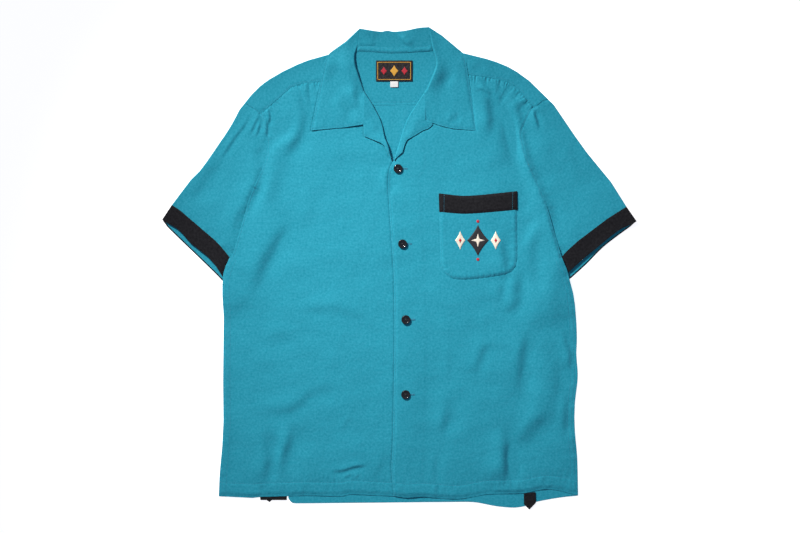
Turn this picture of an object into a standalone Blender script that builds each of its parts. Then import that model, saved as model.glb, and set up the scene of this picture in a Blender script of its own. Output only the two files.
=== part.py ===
"""A short-sleeved camp-collar bowling shirt, lying flat on its back with the collar turned down.

The tables below are in millimetres, seen from above: +X is the wearer's left, +Y is towards the
collar, and Z is height over the surface. The middle of the shirt's box is at X = Y = 0. Blender's
meshes are in metres.

Every piece of cloth is a wall cut along its seams. Heights are worked out at the points of one
square lattice and run straight across each half cell, so layers that lie on each other are exactly
parallel and keep the same gap.
"""

import math
from functools import lru_cache

import bmesh
import bpy
from mathutils import Vector
from mathutils.geometry import delaunay_2d_cdt, intersect_line_line_2d

MM = 0.001

# Driving sizes, in millimetres.
CLOTH = 1.0  # wall of every piece of cloth
SEAM = 0.3  # gap between pieces that meet, side by side or one on the other
LAYER = CLOTH + SEAM
CELL = 25.0  # side of a lattice cell
CURVE_STEP = 6.0  # spacing of the points read from a curve
CURVE_ERROR = 0.5  # how far a thinned curve may leave those points
FLAT_ANGLE = math.radians(0.03)  # faces that turn less than this are joined into one
JOIN = 0.4  # outline points closer than this are one point
LEAST_MITRE = 0.35  # limits how far a sharp corner of an outline moves
CROSS_REACH = 6.0  # a line is taken this far past its ends to look for a crossing
PLAN_MERGE = 0.02  # points of a plan closer than this are one point
TINY = 1e-12

LOFT = 1.3  # air between back and front, away from the edges
LOFT_REACH = 55.0  # the loft grows from nothing at the edge to all of itself over this
FOLD_LOFT = (-0.25, 0.75)  # a fold grows to its height between these shares of the loft
ROLL_RISE = 4.2  # how high the collar stands over the front at the neck opening
ROLL_REACH = 42.0  # the collar comes down to the front over this
ROLL_LEAST = 0.4  # what is left of that rise at the bottom of the V
TURN_WALL = 1.0  # thickness of the cloth where it turns over at a fold
TURN_REACH = TURN_WALL + SEAM / 2  # the same, from the line that the outline is drawn along
STAND_WALL_FOOT = 341.6  # above this Y the collar's turn beside the neck reaches the stand
CUFF_LIP = 2.6  # the cuff's back edge stands out of the sleeve's inside by this
CUFF_HIDE = 2.0  # the sleeve's front layer stops this far inside the cuff

# Where a piece climbs onto the one below it: nothing at the first value, all at the second.
YOKE_CLIMB_Y = (252.0, 272.0)  # yoke onto the collar's leaf
YOKE_CLIMB_ACROSS = (150.0, 126.0)  # the same, by the distance from the middle
LAP_X = (50.0, 28.0)  # left front onto the right one
LAP_Y = (200.0, 178.0)
SHELF_ACROSS = (200.0, 225.0)  # fronts onto the ends of the cuffs
SHELF_TOP_Y = (100.0, 75.0)
SHELF_FOOT_Y = (-75.0, -50.0)
ROLL_Y = (150.0, 290.0)  # the lapels' rise, from the bottom of the V to the collar
CUFF_SLOPE = (60.0, 36.0)  # sleeve onto the cuff's back layer, by the distance from its seam

BUTTON_DIAMETER = 14.0
BUTTON_HEIGHT = 3.0
BUTTON_SIDES = 18
BUTTON_PROFILE = ((0.0, 0.0), (0.80, 0.0), (1.0, 0.30), (1.0, 0.65), (0.90, 1.0), (0.72, 1.0),
                  (0.55, 0.70), (0.0, 0.62))  # shares of the radius and of the height
BUTTON_PLACES = {"button_1": (-2.2, 154.0), "button_2": (4.8, 37.6), "button_3": (9.9, -79.7),
                 "button_4": (9.5, -195.7)}
LABEL_BOX = (-36.4, 289.6, 20.0, 321.7)  # left, bottom, right, top
SIZE_LABEL_BOX = (-14.1, 280.6, -2.3, 289.2)

# Seams and edges. Each row is one point (x, y) that the line passes through.
LINES = {
    "shoulder_right": ((-78, 341), (-95, 335.5), (-112, 331.2), (-147.6, 320.3), (-181, 305),
                       (-207, 289.5), (-225, 274), (-240, 256)),
    "shoulder_left": ((68, 340.5), (86, 335.5), (101, 333), (144.6, 321.7), (173, 310), (201, 291),
                      (215.5, 277), (230.6, 262)),
    "armhole_right": ((-240, 256), (-231, 251.3), (-216, 239), (-209, 213), (-205, 197),
                      (-207, 168), (-231, 111), (-244.5, 65.5), (-258, 20.5), (-262.7, 16.2)),
    "armhole_left": ((230.6, 262), (222.4, 260), (217.6, 256), (210, 249), (202.3, 241),
                     (193, 218.8), (189.3, 209), (192.4, 189.3), (198.7, 167.6), (223.4, 111.1),
                     (236.7, 65.6), (250, 20.4), (250.9, 17.3)),
    "side_right": ((-262.7, 16.2), (-269, 3), (-273.2, -13), (-274, -43), (-272.3, -69),
                   (-272.8, -141), (-273.3, -176.5), (-272.6, -231), (-274.4, -274),
                   (-278.4, -317.5), (-280, -353.5)),
    "side_left": ((250.9, 17.3), (257, 3), (261.5, -10), (264, -22), (270, -44), (274, -83.5),
                  (274.8, -111.4), (274, -131.5), (276.1, -168.3), (271.4, -213.7),
                  (271.4, -247.8), (275.3, -293.3), (276.7, -352.4)),
    "hem_right": ((-280, -353.5), (-253, -354.5), (-228, -356), (-214, -354.5), (-174, -353.8),
                  (-136, -352.4), (-88, -353.5), (-78, -350.8), (-48, -351.6), (-9, -353.8),
                  (20, -355)),
    "hem_left": ((-8.1, -353.2), (10, -356), (33, -354.3), (90.7, -358), (136, -350.5),
                 (193, -349), (225, -342.6), (250, -345.4), (276.7, -352.4)),
    "front_edge_left": ((-8.5, 167.6), (-13, 160), (-15.2, 153.7), (-17.4, 136.6), (-15.3, 85.5),
                        (-11.6, 34.3), (-8.8, -17.6), (-7.9, -111.4), (-9.1, -176.5),
                        (-10.2, -263.3), (-12.6, -312.9), (-8.1, -353.2)),
    "front_edge_right": ((-11.8, 167.6), (6, 142), (20, 112), (20, -355)),
    "yoke_seam_right": ((-64.5, 302), (-92, 296), (-120.6, 289.5), (-147.6, 287), (-165.5, 281.9),
                        (-178.4, 271.5), (-193.9, 258.6), (-216, 239)),
    "yoke_seam_left": ((54, 306), (80, 303.5), (109.9, 299.8), (136.9, 296), (167.9, 289),
                       (188.3, 274.1), (210, 249)),
    "back_yoke_seam": ((-231, 251.3), (-120, 252.5), (0, 253), (120, 254), (217.6, 256)),
    "back_neck": ((-78, 341), (-66, 337.5), (-5, 334.5), (51, 338), (68, 340.5)),
    "neck_right": ((-62, 371.6), (-63.7, 349), (-69.1, 331.9), (-69.1, 318), (-62.8, 296.3),
                   (-55.5, 274.6)),
    "neck_left": ((45.4, 373.9), (50.1, 345.4), (55.5, 325.7), (56.1, 313.3), (51.3, 299.4),
                  (41.9, 277.7), (38, 271.5)),
    "lapel_roll_right": ((-55.5, 274.6), (-41.2, 252.9), (-28.2, 226.8), (-22.5, 201.7),
                         (-17.8, 190.9), (-11.8, 167.6)),
    "lapel_roll_left": ((38, 271.5), (33.3, 263.7), (25.3, 251.8), (14.6, 235.2), (7.4, 218.8),
                        (2.6, 201.7), (-8.5, 167.6)),
    "lapel_edge_right": ((-55, 204.8), (-41.1, 198.6), (-28.7, 194), (-23.1, 189.3),
                         (-17.5, 177)),
    "lapel_edge_left": ((51.3, 222.2), (45.4, 216.8), (36, 213), (26.2, 206.8), (11.6, 198.6),
                        (8.2, 191.5), (4.6, 179.5)),
    "lapel_side_right": ((-55.8, 222.8), (-55, 204.8)),
    "lapel_side_left": ((50.8, 225.4), (51.3, 222.2)),
    "gorge_right": ((-55.5, 274.6), (-55.8, 222.8)),
    "gorge_left": ((38, 271.5), (40.6, 228.7)),
    "leaf_end_right": ((-55.8, 222.8), (-85.4, 218.3), (-124.8, 215.2), (-137, 213.6)),
    "leaf_end_left": ((40.6, 228.7), (77.7, 217.5), (120, 213.4)),
    "leaf_edge_right": ((-137, 213.6), (-126, 268), (-114.2, 322.9), (-105.2, 335.8)),
    "leaf_edge_left": ((120, 213.4), (110.5, 272), (101, 329.3), (95.8, 335.8)),
    "leaf_fold_right": ((-105.2, 335.8), (-83.4, 351.2), (-62, 371.6)),
    "leaf_fold_left": ((95.8, 335.8), (80.3, 348.7), (64.9, 361.5), (45.4, 373.9)),
    "leaf_under": ((-105.2, 335.8), (-98, 318), (-92, 298), (82, 298), (88, 318), (95.8, 335.8)),
    "stand_top": ((-62, 371.6), (-28.7, 366.8), (-19, 368.4), (-9.1, 366.8), (14.7, 369.1),
                  (30.2, 372.7), (45.4, 373.9)),
    "sleeve_fold_right": ((-240, 256), (-248, 246), (-262, 220), (-286, 184), (-309.5, 151),
                          (-324, 136.5), (-353, 98)),
    "sleeve_fold_left": ((230.6, 262), (239, 253.7), (258.7, 224.4), (290.6, 179.3), (327, 135),
                         (352, 95.2)),
    "sleeve_tuck_right": ((-244.5, 65.5), (-252, 35), (-259, 11.5), (-270, -22.5)),
    "sleeve_tuck_left": ((236.7, 65.6), (243.5, 35), (247, 11.5), (258.6, -20.5)),
    "cuff_fold_right": ((-353, 98), (-368, 75.5)),
    "cuff_fold_left": ((352, 95.2), (367.5, 73.1)),
    "cuff_top_right": ((-353, 98), (-339.6, 89), (-320.5, 72.3), (-300, 54.8), (-281.8, 39),
                       (-262.7, 16.2), (-257, 9.5)),
    "cuff_top_left": ((352, 95.2), (341.8, 89), (327.8, 80.4), (310.5, 67.7), (286.8, 49.8),
                      (268.6, 35.3), (250.8, 17.3), (245, 10)),
    "cuff_front_right": ((-368, 75.5), (-360.4, 70.6), (-349.8, 65.3), (-337, 54.8), (-323.2, 39),
                         (-301.5, 22.4), (-286, 6.4), (-274.5, -11.4), (-266.5, -20)),
    "cuff_front_left": ((367.5, 73.1), (359.4, 68.4), (343.3, 61.3), (327.8, 50.3), (312, 37.4),
                        (288.3, 17.9), (259.6, -8.1), (254.5, -14)),
    "cuff_back_right": ((-368, 75.5), (-362.5, 68.4), (-322, 29), (-281.3, -10.6),
                        (-273.6, -19.5), (-268.4, -25.6)),
    "cuff_back_left": ((367.5, 73.1), (351.5, 60.7), (327.8, 43.2), (317, 35.3), (288.3, 6.7),
                       (263, -16.5), (257, -23)),
    "cuff_end_right": ((-257, 9.5), (-268.4, -25.6)),
    "cuff_end_left": ((245, 10), (257, -23)),
    "back_side_right": ((-244.5, 65.5), (-240, 42), (-246, 12), (-256, -28), (-274, -52)),
    "back_side_left": ((236.7, 65.6), (233, 42), (235, 12), (246, -26), (271.5, -52)),
    "back_hem": ((-172, -357), (-165.7, -363.7), (-135.6, -363.7), (0, -363), (113.5, -362.5),
                 (147.6, -368.4), (177.2, -371), (195.3, -368.4), (211.3, -362.5), (245, -356),
                 (276.7, -352.4)),
    "back_hem_notch": ((-280, -353.5), (-219, -349.5), (-172, -349.5)),
    "pocket_top": ((61.8, 114), (103, 110.2), (181.6, 117.4)),
    "pocket_side": ((181.6, 117.4), (182.1, 12.6), (180.3, 3.3), (172.8, -7.5)),
    "pocket_foot": ((172.8, -7.5), (134, -14.2), (101.5, -17.3), (78.3, -15.3), (67.4, -5.2),
                    (63.4, 8), (61.8, 114)),
    "band_top": ((61.2, 115.6), (103.1, 111.8), (182.1, 119)),
    "band_foot": ((182.7, 90.8), (104.6, 84.6), (61.8, 87.3)),
    "tape_foot": ((-66, 336.4), (-5, 333.4), (51.5, 336.9)),
    "tape_top": ((49.3, 346), (-5, 341.6), (-63.4, 345.6)),
}
# Lines that run straight between their points. The others are smooth curves.
STRAIGHT = ("front_edge_right", "leaf_under", "sleeve_tuck_right", "sleeve_tuck_left",
            "back_side_right", "back_side_left", "back_hem_notch")

# Corners at which pieces meet, where a line has to be cut between two of them.
CORNERS = {
    "shoulder_end_right": (-240, 256), "shoulder_end_left": (230.6, 262),
    "shoulder_at_leaf_right": (-107, 332.5), "shoulder_at_leaf_left": (101, 333),
    "leaf_corner_left": (95.8, 335.8), "leaf_at_shoulder_left": (100.4, 332),
    "yoke_back_end_right": (-231, 251.3), "yoke_back_end_left": (217.6, 256),
    "yoke_front_end_right": (-216, 239), "yoke_front_end_left": (210, 249),
    "yoke_neck_right": (-64.5, 302), "yoke_neck_left": (54, 306),
    "yoke_top_right": (-69.1, 327), "yoke_top_left": (55.5, 326),
    "gorge_top_right": (-55.5, 274.6), "gorge_top_left": (38, 271.5),
    "stand_top_right": (-62, 371.6), "stand_top_left": (45.4, 373.9),
    "stand_foot_right": (-67.4, 337.9), "stand_foot_left": (52.2, 338.2),
    "tuck_right": (-244.5, 65.5), "tuck_left": (236.7, 65.6),
    "underarm_right": (-262.7, 16.2), "underarm_left": (250.9, 17.3),
    "cuff_tip_right": (-368, 75.5), "cuff_tip_left": (367.5, 73.1),
    "cuff_at_side_right": (-273.6, -19.5), "cuff_at_side_left": (263, -16.5),
    "side_below_cuff_left": (263.5, -19),
    "back_side_foot_right": (-274, -52), "back_side_foot_left": (271.5, -52),
    "side_foot_right": (-280, -353.5), "side_foot_left": (276.7, -352.4),
    "hem_at_notch": (-174, -353.8),
}
TAB_RIGHT = ((-215.8, -350.6), (-174.8, -350.6), (-174.8, -359.4), (-198, -359.4),
             (-201.5, -362.5), (-206, -359.4), (-215.8, -359.4))
TAB_LEFT = ((193, -349.4), (210.8, -347.2), (211.3, -363.7), (201.5, -373.9), (193, -366))

# The largest folds of the upper cloth. Each row: start x, start y, end x, end y, half width and
# height, which is below nothing for a trough.
FOLDS = {
    "chest_right_trough": (-170, 84, -190, 47, 17, -1.6),
    "chest_right_low": (-200, 30, -232, -36, 17, -1.5),
    "chest_right_ridge": (-186, 96, -214, 34, 18, 1.6),
    "underarm_right_ridge": (-212, 176, -212, 128, 15, 1.5),
    "gather_right": (-146, 272, -160, 205, 15, 1.0),
    "waist_right": (-156, -62, -78, -66, 16, 0.8),
    "waist_right_low": (-122, -190, -172, -222, 16, -1.1),
    "hem_right_ridge": (-186, -262, -196, -318, 15, 1.7),
    "hem_right_trough": (-165, -250, -178, -322, 14, -1.0),
    "sleeve_right_ridge": (-236, 236, -276, 178, 16, 1.2),
    "sleeve_right_low": (-260, 160, -296, 96, 18, 0.9),
    "armhole_left_trough": (178, 272, 182, 208, 15, -1.3),
    "armhole_left_ridge": (156, 276, 158, 214, 15, 1.5),
    "sleeve_left_ridge": (222, 236, 238, 196, 15, 1.2),
    "sleeve_left_low": (262, 160, 296, 92, 18, 0.9),
    "chest_left_trough": (216, 20, 168, -68, 17, -1.3),
    "chest_left_ridge": (232, 2, 196, -72, 18, 1.4),
    "front_left_ridge": (78, -200, 66, -338, 16, 1.4),
    "front_left_trough": (56, -190, 46, -330, 15, -1.0),
    "hem_left_trough": (158, -266, 164, -328, 14, -1.1),
    "waist_left_ridge": (222, -228, 182, -278, 17, 1.7),
    "side_left_trough": (244, -196, 226, -246, 15, -1.2),
}

CLOTHS = {
    "teal": ((0.030, 0.352, 0.491), 0.82),
    "black": ((0.018, 0.018, 0.021), 0.85),
    "button": ((0.010, 0.010, 0.011), 0.18),
    "label": ((0.020, 0.016, 0.015), 0.70),
    "white": ((0.780, 0.760, 0.720), 0.75),
}


# Lines, rings and tests in the plane.

def curve(rows):
    """Points along a smooth curve through the rows, thinned where it runs straight."""
    rows = [Vector(row) for row in rows]
    ends = [2 * rows[0] - rows[1], *rows, 2 * rows[-1] - rows[-2]]
    points = [rows[0]]
    for before, start, stop, after in zip(ends, ends[1:], ends[2:], ends[3:]):
        chord = (stop - start).length
        steps = max(1, round(chord / CURVE_STEP))
        leave = (stop - before) * chord / ((stop - start).length + (start - before).length)
        reach = (after - start) * chord / ((after - stop).length + (stop - start).length)
        for step in range(1, steps + 1):
            t = step / steps
            points.append(start * (1 + 2 * t) * (1 - t) ** 2 + leave * t * (1 - t) ** 2
                          + stop * (3 - 2 * t) * t ** 2 - reach * t ** 2 * (1 - t))
    return thinned(points)


def thinned(points):
    """The points that a line needs to stay within CURVE_ERROR of all of them."""
    if len(points) < 3:
        return points
    off = [distance_to_segment(point, points[0], points[-1]) for point in points]
    far = max(range(len(points)), key=off.__getitem__)
    if off[far] < CURVE_ERROR:
        return [points[0], points[-1]]
    return thinned(points[:far + 1])[:-1] + thinned(points[far:])


def distance_to_segment(point, start, stop):
    span = stop - start
    along = max(0.0, min(1.0, (point - start).dot(span) / max(span.length_squared, TINY)))
    return (point - start - along * span).length


def distance_to_line(line, point):
    return min(distance_to_segment(point, start, stop) for start, stop in zip(line, line[1:]))


def place_on(points, target):
    """(segment, point) of the place on the line that is nearest to the target."""
    best = None
    for index, (start, stop) in enumerate(zip(points, points[1:])):
        span = stop - start
        along = max(0.0, min(1.0, (target - start).dot(span) / max(span.length_squared, TINY)))
        spot = start + along * span
        if best is None or (spot - target).length < best[0]:
            best = ((spot - target).length, index, spot)
    return best[1], best[2]


def stretch(name, start, stop):
    """The stretch of a named line between the places nearest to two named corners."""
    return stretch_at(LINE[name], Vector(CORNERS[start]), Vector(CORNERS[stop]))


def stretch_at(points, start, stop):
    """The stretch of a line between the places nearest to two points."""
    first, start = place_on(points, start)
    last, stop = place_on(points, stop)
    if (first, (start - points[first]).length) > (last, (stop - points[last]).length):
        return [start, *reversed(points[last + 1:first + 1]), stop]
    return [start, *points[first + 1:last + 1], stop]


def crossing(points, limit):
    """(segment, place) where the line crosses another, which may end a little short of it."""
    first = limit[0] + (limit[0] - limit[1]).normalized() * CROSS_REACH
    last = limit[-1] + (limit[-1] - limit[-2]).normalized() * CROSS_REACH
    limit = [first, *limit, last]
    for index, (start, stop) in enumerate(zip(points, points[1:])):
        for a, b in zip(limit, limit[1:]):
            place = intersect_line_line_2d(start, stop, a, b)
            if place:
                return index, place
    raise ValueError("the lines don't cross")


def part_between(points, start_limit, stop_limit):
    """The line from where it crosses one limit, or from its start, to where it crosses the other."""
    first, start = crossing(points, start_limit) if start_limit else (0, points[0])
    last, stop = crossing(points, stop_limit)
    return [start, *points[first + 1:last + 1], stop]


def moved_aside(points, distance):
    """The line moved to its left by the distance, and by less where it turns sharply."""
    sides = [stop - start for start, stop in zip(points, points[1:])]
    return [point + corner_shift(behind, ahead, distance)
            for point, behind, ahead in zip(points, [sides[0], *sides], [*sides, sides[-1]])]


def corner_shift(behind, ahead, distance):
    """How far a corner moves when both its sides move to their left by the distance."""
    normal_behind = Vector((-behind.y, behind.x)).normalized()
    normal_ahead = Vector((-ahead.y, ahead.x)).normalized()
    middle = normal_behind + normal_ahead
    return middle * distance / max(LEAST_MITRE, 1 + normal_behind.dot(normal_ahead))


def ring(*lines, inset=SEAM / 2):
    """A closed outline, anticlockwise, from lines that follow each other, moved inwards."""
    points = []
    for part in lines:
        part = [Vector(point) for point in part]
        if points and (part[0] - points[-1]).length > (part[-1] - points[-1]).length:
            part.reverse()
        for point in part:
            if not points or (point - points[-1]).length > JOIN:
                points.append(point)
    while (points[0] - points[-1]).length < JOIN:
        points.pop()
    area = sum(a.x * b.y - b.x * a.y for a, b in zip(points, points[1:] + points[:1]))
    if area < 0:
        points.reverse()
    count = len(points)
    return [point + corner_shift(point - points[index - 1], points[(index + 1) % count] - point,
                                 inset)
            for index, point in enumerate(points)]


def inside(outline, point):
    crossings = False
    for a, b in zip(outline, outline[1:] + outline[:1]):
        if (a.y > point.y) != (b.y > point.y):
            crossings ^= point.x < a.x + (point.y - a.y) * (b.x - a.x) / (b.y - a.y)
    return crossings


def box_ring(left, bottom, right, top):
    return ring([(left, bottom), (right, bottom), (right, top), (left, top)])


def closed_line(outline):
    return outline + outline[:1]


LINE = {name: [Vector(row) for row in rows] if name in STRAIGHT else curve(rows)
        for name, rows in LINES.items()}


# Heights over the surface, in millimetres.

def silhouette():
    """The shirt's whole outline."""
    return ring(LINE["stand_top"], LINE["leaf_fold_left"],
                stretch("leaf_edge_left", "leaf_corner_left", "leaf_at_shoulder_left"),
                stretch("shoulder_left", "shoulder_at_leaf_left", "shoulder_end_left"),
                LINE["sleeve_fold_left"], LINE["cuff_fold_left"],
                stretch("cuff_back_left", "cuff_tip_left", "cuff_at_side_left"),
                stretch("side_left", "side_below_cuff_left", "side_foot_left"),
                LINE["back_hem"], stretch("hem_right", "hem_at_notch", "side_foot_right"),
                stretch("side_right", "side_foot_right", "cuff_at_side_right"),
                stretch("cuff_back_right", "cuff_at_side_right", "cuff_tip_right"),
                LINE["cuff_fold_right"], LINE["sleeve_fold_right"],
                stretch("shoulder_right", "shoulder_end_right", "shoulder_at_leaf_right"),
                LINE["leaf_fold_right"], inset=0)


def ramp(value, nothing, full):
    """0 up to the value for nothing, 1 from the value for full, and a smooth rise between."""
    share = max(0.0, min(1.0, (value - nothing) / (full - nothing)))
    return share * share * (3 - 2 * share)


def rise(x, y):
    """The yoke lies on the collar's leaf behind the neck."""
    return LAYER * ramp(y, *YOKE_CLIMB_Y) * ramp(abs(x), *YOKE_CLIMB_ACROSS)


def swell(x, y):
    """How far the upper cloth stands off the lower, over the gap between them."""
    point = Vector((x, y))
    if not inside(SILHOUETTE, point):
        return 0.0
    edge = ramp(distance_to_line(closed_line(SILHOUETTE), point), 0, LOFT_REACH)
    lifted = LOFT * edge
    for x0, y0, x1, y1, half_width, fold_height in FOLDS.values():
        away = distance_to_segment(point, Vector((x0, y0)), Vector((x1, y1))) / half_width
        lifted += fold_height * math.exp(-away * away) * ramp(edge, *FOLD_LOFT)
    return max(0.0, lifted)


def lap(x, y):
    """The left front lies on the right one along the buttons."""
    return LAYER * ramp(x, *LAP_X) * ramp(y, *LAP_Y)


def shelf(x, y):
    """The fronts lie on the ends of the cuffs below the arms."""
    climb = ramp(abs(x), *SHELF_ACROSS) * ramp(y, *SHELF_TOP_Y) * ramp(y, *SHELF_FOOT_Y)
    return 3 * LAYER * climb


def roll(x, y):
    """The collar and the lapels stand up along the neck opening."""
    point = Vector((x, y))
    away = min(distance_to_line(LINE[name], point)
               for name in ("neck_right", "neck_left", "lapel_roll_right", "lapel_roll_left"))
    return max(ROLL_LEAST, ROLL_RISE * ramp(y, *ROLL_Y) * ramp(away, ROLL_REACH, 0))


def cuff_lift(x, y):
    """The sleeve's end lies on the back layer of its cuff."""
    side = "right" if x < 0 else "left"
    start = Vector(LINES["cuff_top_" + side][0])
    along = Vector(CORNERS["underarm_" + side]) - start
    across = Vector((-along.y, along.x) if x < 0 else (along.y, -along.x)).normalized()
    return LAYER * ramp((Vector((x, y)) - start).dot(across), *CUFF_SLOPE)


@lru_cache(maxsize=None)
def at_node(rule, column, row):
    return rule(column * CELL, row * CELL)


def height(rule, x, y):
    """The rule's height at a point, straight across each half cell of the lattice."""
    column, row = math.floor(x / CELL), math.floor(y / CELL)
    u, v = x / CELL - column, y / CELL - row
    low = at_node(rule, column, row)
    high = at_node(rule, column + 1, row + 1)
    if u > v:
        side = at_node(rule, column + 1, row)
        return low + (side - low) * u + (high - side) * v
    side = at_node(rule, column, row + 1)
    return low + (high - side) * u + (side - low) * v


def level(base, *rules):
    """A height function: a plain base and the rules' heights over it."""
    return lambda x, y: base + sum(height(rule, x, y) for rule in rules)


# Solids.

def lattice_edges(points, lines):
    """The lattice's edges over the lines' box, added to the points."""
    xs = [point.x for part in lines for point in part]
    ys = [point.y for part in lines for point in part]
    columns = range(math.floor(min(xs) / CELL), math.ceil(max(xs) / CELL) + 1)
    rows = range(math.floor(min(ys) / CELL), math.ceil(max(ys) / CELL) + 1)
    number = {}
    for column in columns:
        for row in rows:
            number[column, row] = len(points)
            points.append(Vector((column * CELL, row * CELL)))
    return [(number[start], number[start[0] + dx, start[1] + dy])
            for start in number for dx, dy in ((1, 0), (0, 1), (1, 1))
            if (start[0] + dx, start[1] + dy) in number]


def triangles_of(lines, on_lattice):
    """(points, triangles) that no line and, if asked, no lattice edge crosses."""
    points = []
    edges = []
    for part in lines:
        edges += [(len(points) + step, len(points) + step + 1) for step in range(len(part) - 1)]
        points += part
    if on_lattice:
        edges += lattice_edges(points, lines)
    made = delaunay_2d_cdt(points, edges, [], 0, PLAN_MERGE, False)
    return made[0], [face for face in made[2] if len(face) == 3]


def layered_solid(name, cloth, lines, slabs_at, levels, on_lattice=True):
    """One closed body. slabs_at gives the slabs that a point of the plan has: slab k is the
    cloth between levels k and k + 1."""
    points, triangles = triangles_of(lines, on_lattice)
    mesh = bmesh.new()
    corners = {}

    def corner(index, at):
        if (index, at) not in corners:
            x, y = points[index]
            corners[index, at] = mesh.verts.new((x * MM, y * MM, levels[at](x, y) * MM))
        return corners[index, at]

    sides = {}
    filled = []
    for triangle in triangles:
        a, b, c = (points[index] for index in triangle)
        if (b - a).cross(c - a) < 0:
            triangle = triangle[::-1]
        slabs = frozenset(slabs_at((a + b + c) / 3))
        filled.append((triangle, slabs))
        for start, stop in zip(triangle, [*triangle[1:], triangle[0]]):
            sides[start, stop] = slabs
    for triangle, slabs in filled:
        for slab in slabs:
            if slab - 1 not in slabs:
                mesh.faces.new([corner(index, slab) for index in reversed(triangle)])
            if slab + 1 not in slabs:
                mesh.faces.new([corner(index, slab + 1) for index in triangle])
    for (start, stop), slabs in sides.items():
        for slab in slabs - sides.get((stop, start), frozenset()):
            mesh.faces.new([corner(start, slab), corner(stop, slab), corner(stop, slab + 1),
                            corner(start, slab + 1)])
    mesh.normal_update()
    bmesh.ops.dissolve_limit(mesh, angle_limit=FLAT_ANGLE, verts=mesh.verts, edges=mesh.edges)
    return made_object(name, cloth, mesh)


def panel(name, cloth, outline, base, on_lattice=True):
    """A plain piece of cloth: its outline at one level and the wall over it."""
    return layered_solid(name, cloth, [closed_line(outline)],
                         lambda point: (0,) if inside(outline, point) else (),
                         (base, lambda x, y: base(x, y) + CLOTH), on_lattice)


def flat_tube(name, cloth, lower, upper, turns, levels):
    """Two layers of cloth joined by a wall along each turn. A turn is (line, side of the cloth):
    1 where the cloth is to the line's left, -1 where it is to its right."""
    def slabs_at(point):
        if not inside(lower, point):
            return ()
        if not inside(upper, point):
            return (0,)
        turned = any(distance_to_line(turn, point) < TURN_REACH for turn, _ in turns)
        return (0, 1, 2) if turned else (0, 2)

    layered_solid(name, cloth, [closed_line(lower), closed_line(upper)]
                  + [moved_aside(turn, way * TURN_REACH) for turn, way in turns], slabs_at,
                  levels)


def made_object(name, cloth, mesh):
    data = bpy.data.meshes.new(name)
    mesh.to_mesh(data)
    mesh.free()
    data.materials.append(bpy.data.materials[cloth])
    made = bpy.data.objects.new(name, data)
    bpy.context.scene.collection.objects.link(made)
    return made


def make_materials():
    for name, (colour, roughness) in CLOTHS.items():
        material = bpy.data.materials.new(name)
        material.use_nodes = True
        shader = material.node_tree.nodes["Principled BSDF"]
        shader.inputs["Base Color"].default_value = (*colour, 1)
        shader.inputs["Roughness"].default_value = roughness
        shader.inputs["Metallic"].default_value = 0


# The pieces.

def front_level(extra=0.0, *rules):
    """The underside of the upper cloth, and anything that lies on it, extra higher."""
    return level(LAYER + extra, rise, swell, *rules)


def make_back():
    outline = ring(LINE["back_yoke_seam"],
                   stretch("armhole_left", "yoke_back_end_left", "tuck_left"),
                   LINE["back_side_left"],
                   stretch("side_left", "back_side_foot_left", "side_foot_left"),
                   LINE["back_hem"], LINE["back_hem_notch"],
                   stretch("side_right", "side_foot_right", "back_side_foot_right"),
                   LINE["back_side_right"],
                   stretch("armhole_right", "tuck_right", "yoke_back_end_right"))
    panel("back", "teal", outline, level(0), on_lattice=False)


def make_yoke():
    """The back yoke, turned over at both shoulders and carried down to the gathered fronts."""
    lower = ring(LINE["back_neck"], LINE["shoulder_left"],
                 stretch("armhole_left", "shoulder_end_left", "yoke_back_end_left"),
                 LINE["back_yoke_seam"],
                 stretch("armhole_right", "yoke_back_end_right", "shoulder_end_right"),
                 LINE["shoulder_right"])
    upper = [ring(LINE["shoulder_" + side],
                  stretch("armhole_" + side, "shoulder_end_" + side, "yoke_front_end_" + side),
                  LINE["yoke_seam_" + side],
                  stretch("neck_" + side, "yoke_neck_" + side, "yoke_top_" + side))
             for side in ("right", "left")]
    turns = [LINE["shoulder_right"], LINE["shoulder_left"]]
    turn_lines = [moved_aside(turns[0], TURN_REACH), moved_aside(turns[1], -TURN_REACH)]

    def slabs_at(point):
        slabs = {0} if inside(lower, point) else set()
        if any(inside(outline, point) for outline in upper):
            slabs.add(2)
        if len(slabs) == 2 and min(distance_to_line(turn, point) for turn in turns) < TURN_REACH:
            slabs.add(1)
        return slabs

    layered_solid("yoke", "teal",
                  [closed_line(outline) for outline in (lower, *upper)] + turn_lines, slabs_at,
                  (level(0, rise), level(CLOTH, rise), front_level(), front_level(CLOTH)))


def make_front(side, *rules):
    outline = ring(LINE["yoke_seam_" + side],
                   stretch("armhole_" + side, "yoke_front_end_" + side, "underarm_" + side),
                   LINE["side_" + side], LINE["hem_" + side], LINE["front_edge_" + side],
                   LINE["lapel_roll_" + side],
                   stretch("neck_" + side, "gorge_top_" + side, "yoke_neck_" + side))
    panel("front_" + side, "teal", outline, front_level(0, *rules))


def make_facing(side, sign):
    """What shows of the facing: the turned-back lapel, standing on the front at its roll."""
    roll_line = LINE["lapel_roll_" + side]
    outline = ring(LINE["gorge_" + side], LINE["lapel_side_" + side], LINE["lapel_edge_" + side],
                   roll_line[::-1])

    def slabs_at(point):
        if not inside(outline, point):
            return ()
        return (0, 1) if distance_to_line(roll_line, point) < TURN_REACH else (1,)

    layered_solid("facing_" + side, "teal",
                  [closed_line(outline), moved_aside(roll_line, sign * TURN_REACH)], slabs_at,
                  (front_level(LAYER, lap), front_level(LAYER, lap, roll),
                   front_level(LAYER + CLOTH, lap, roll)))


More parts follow.
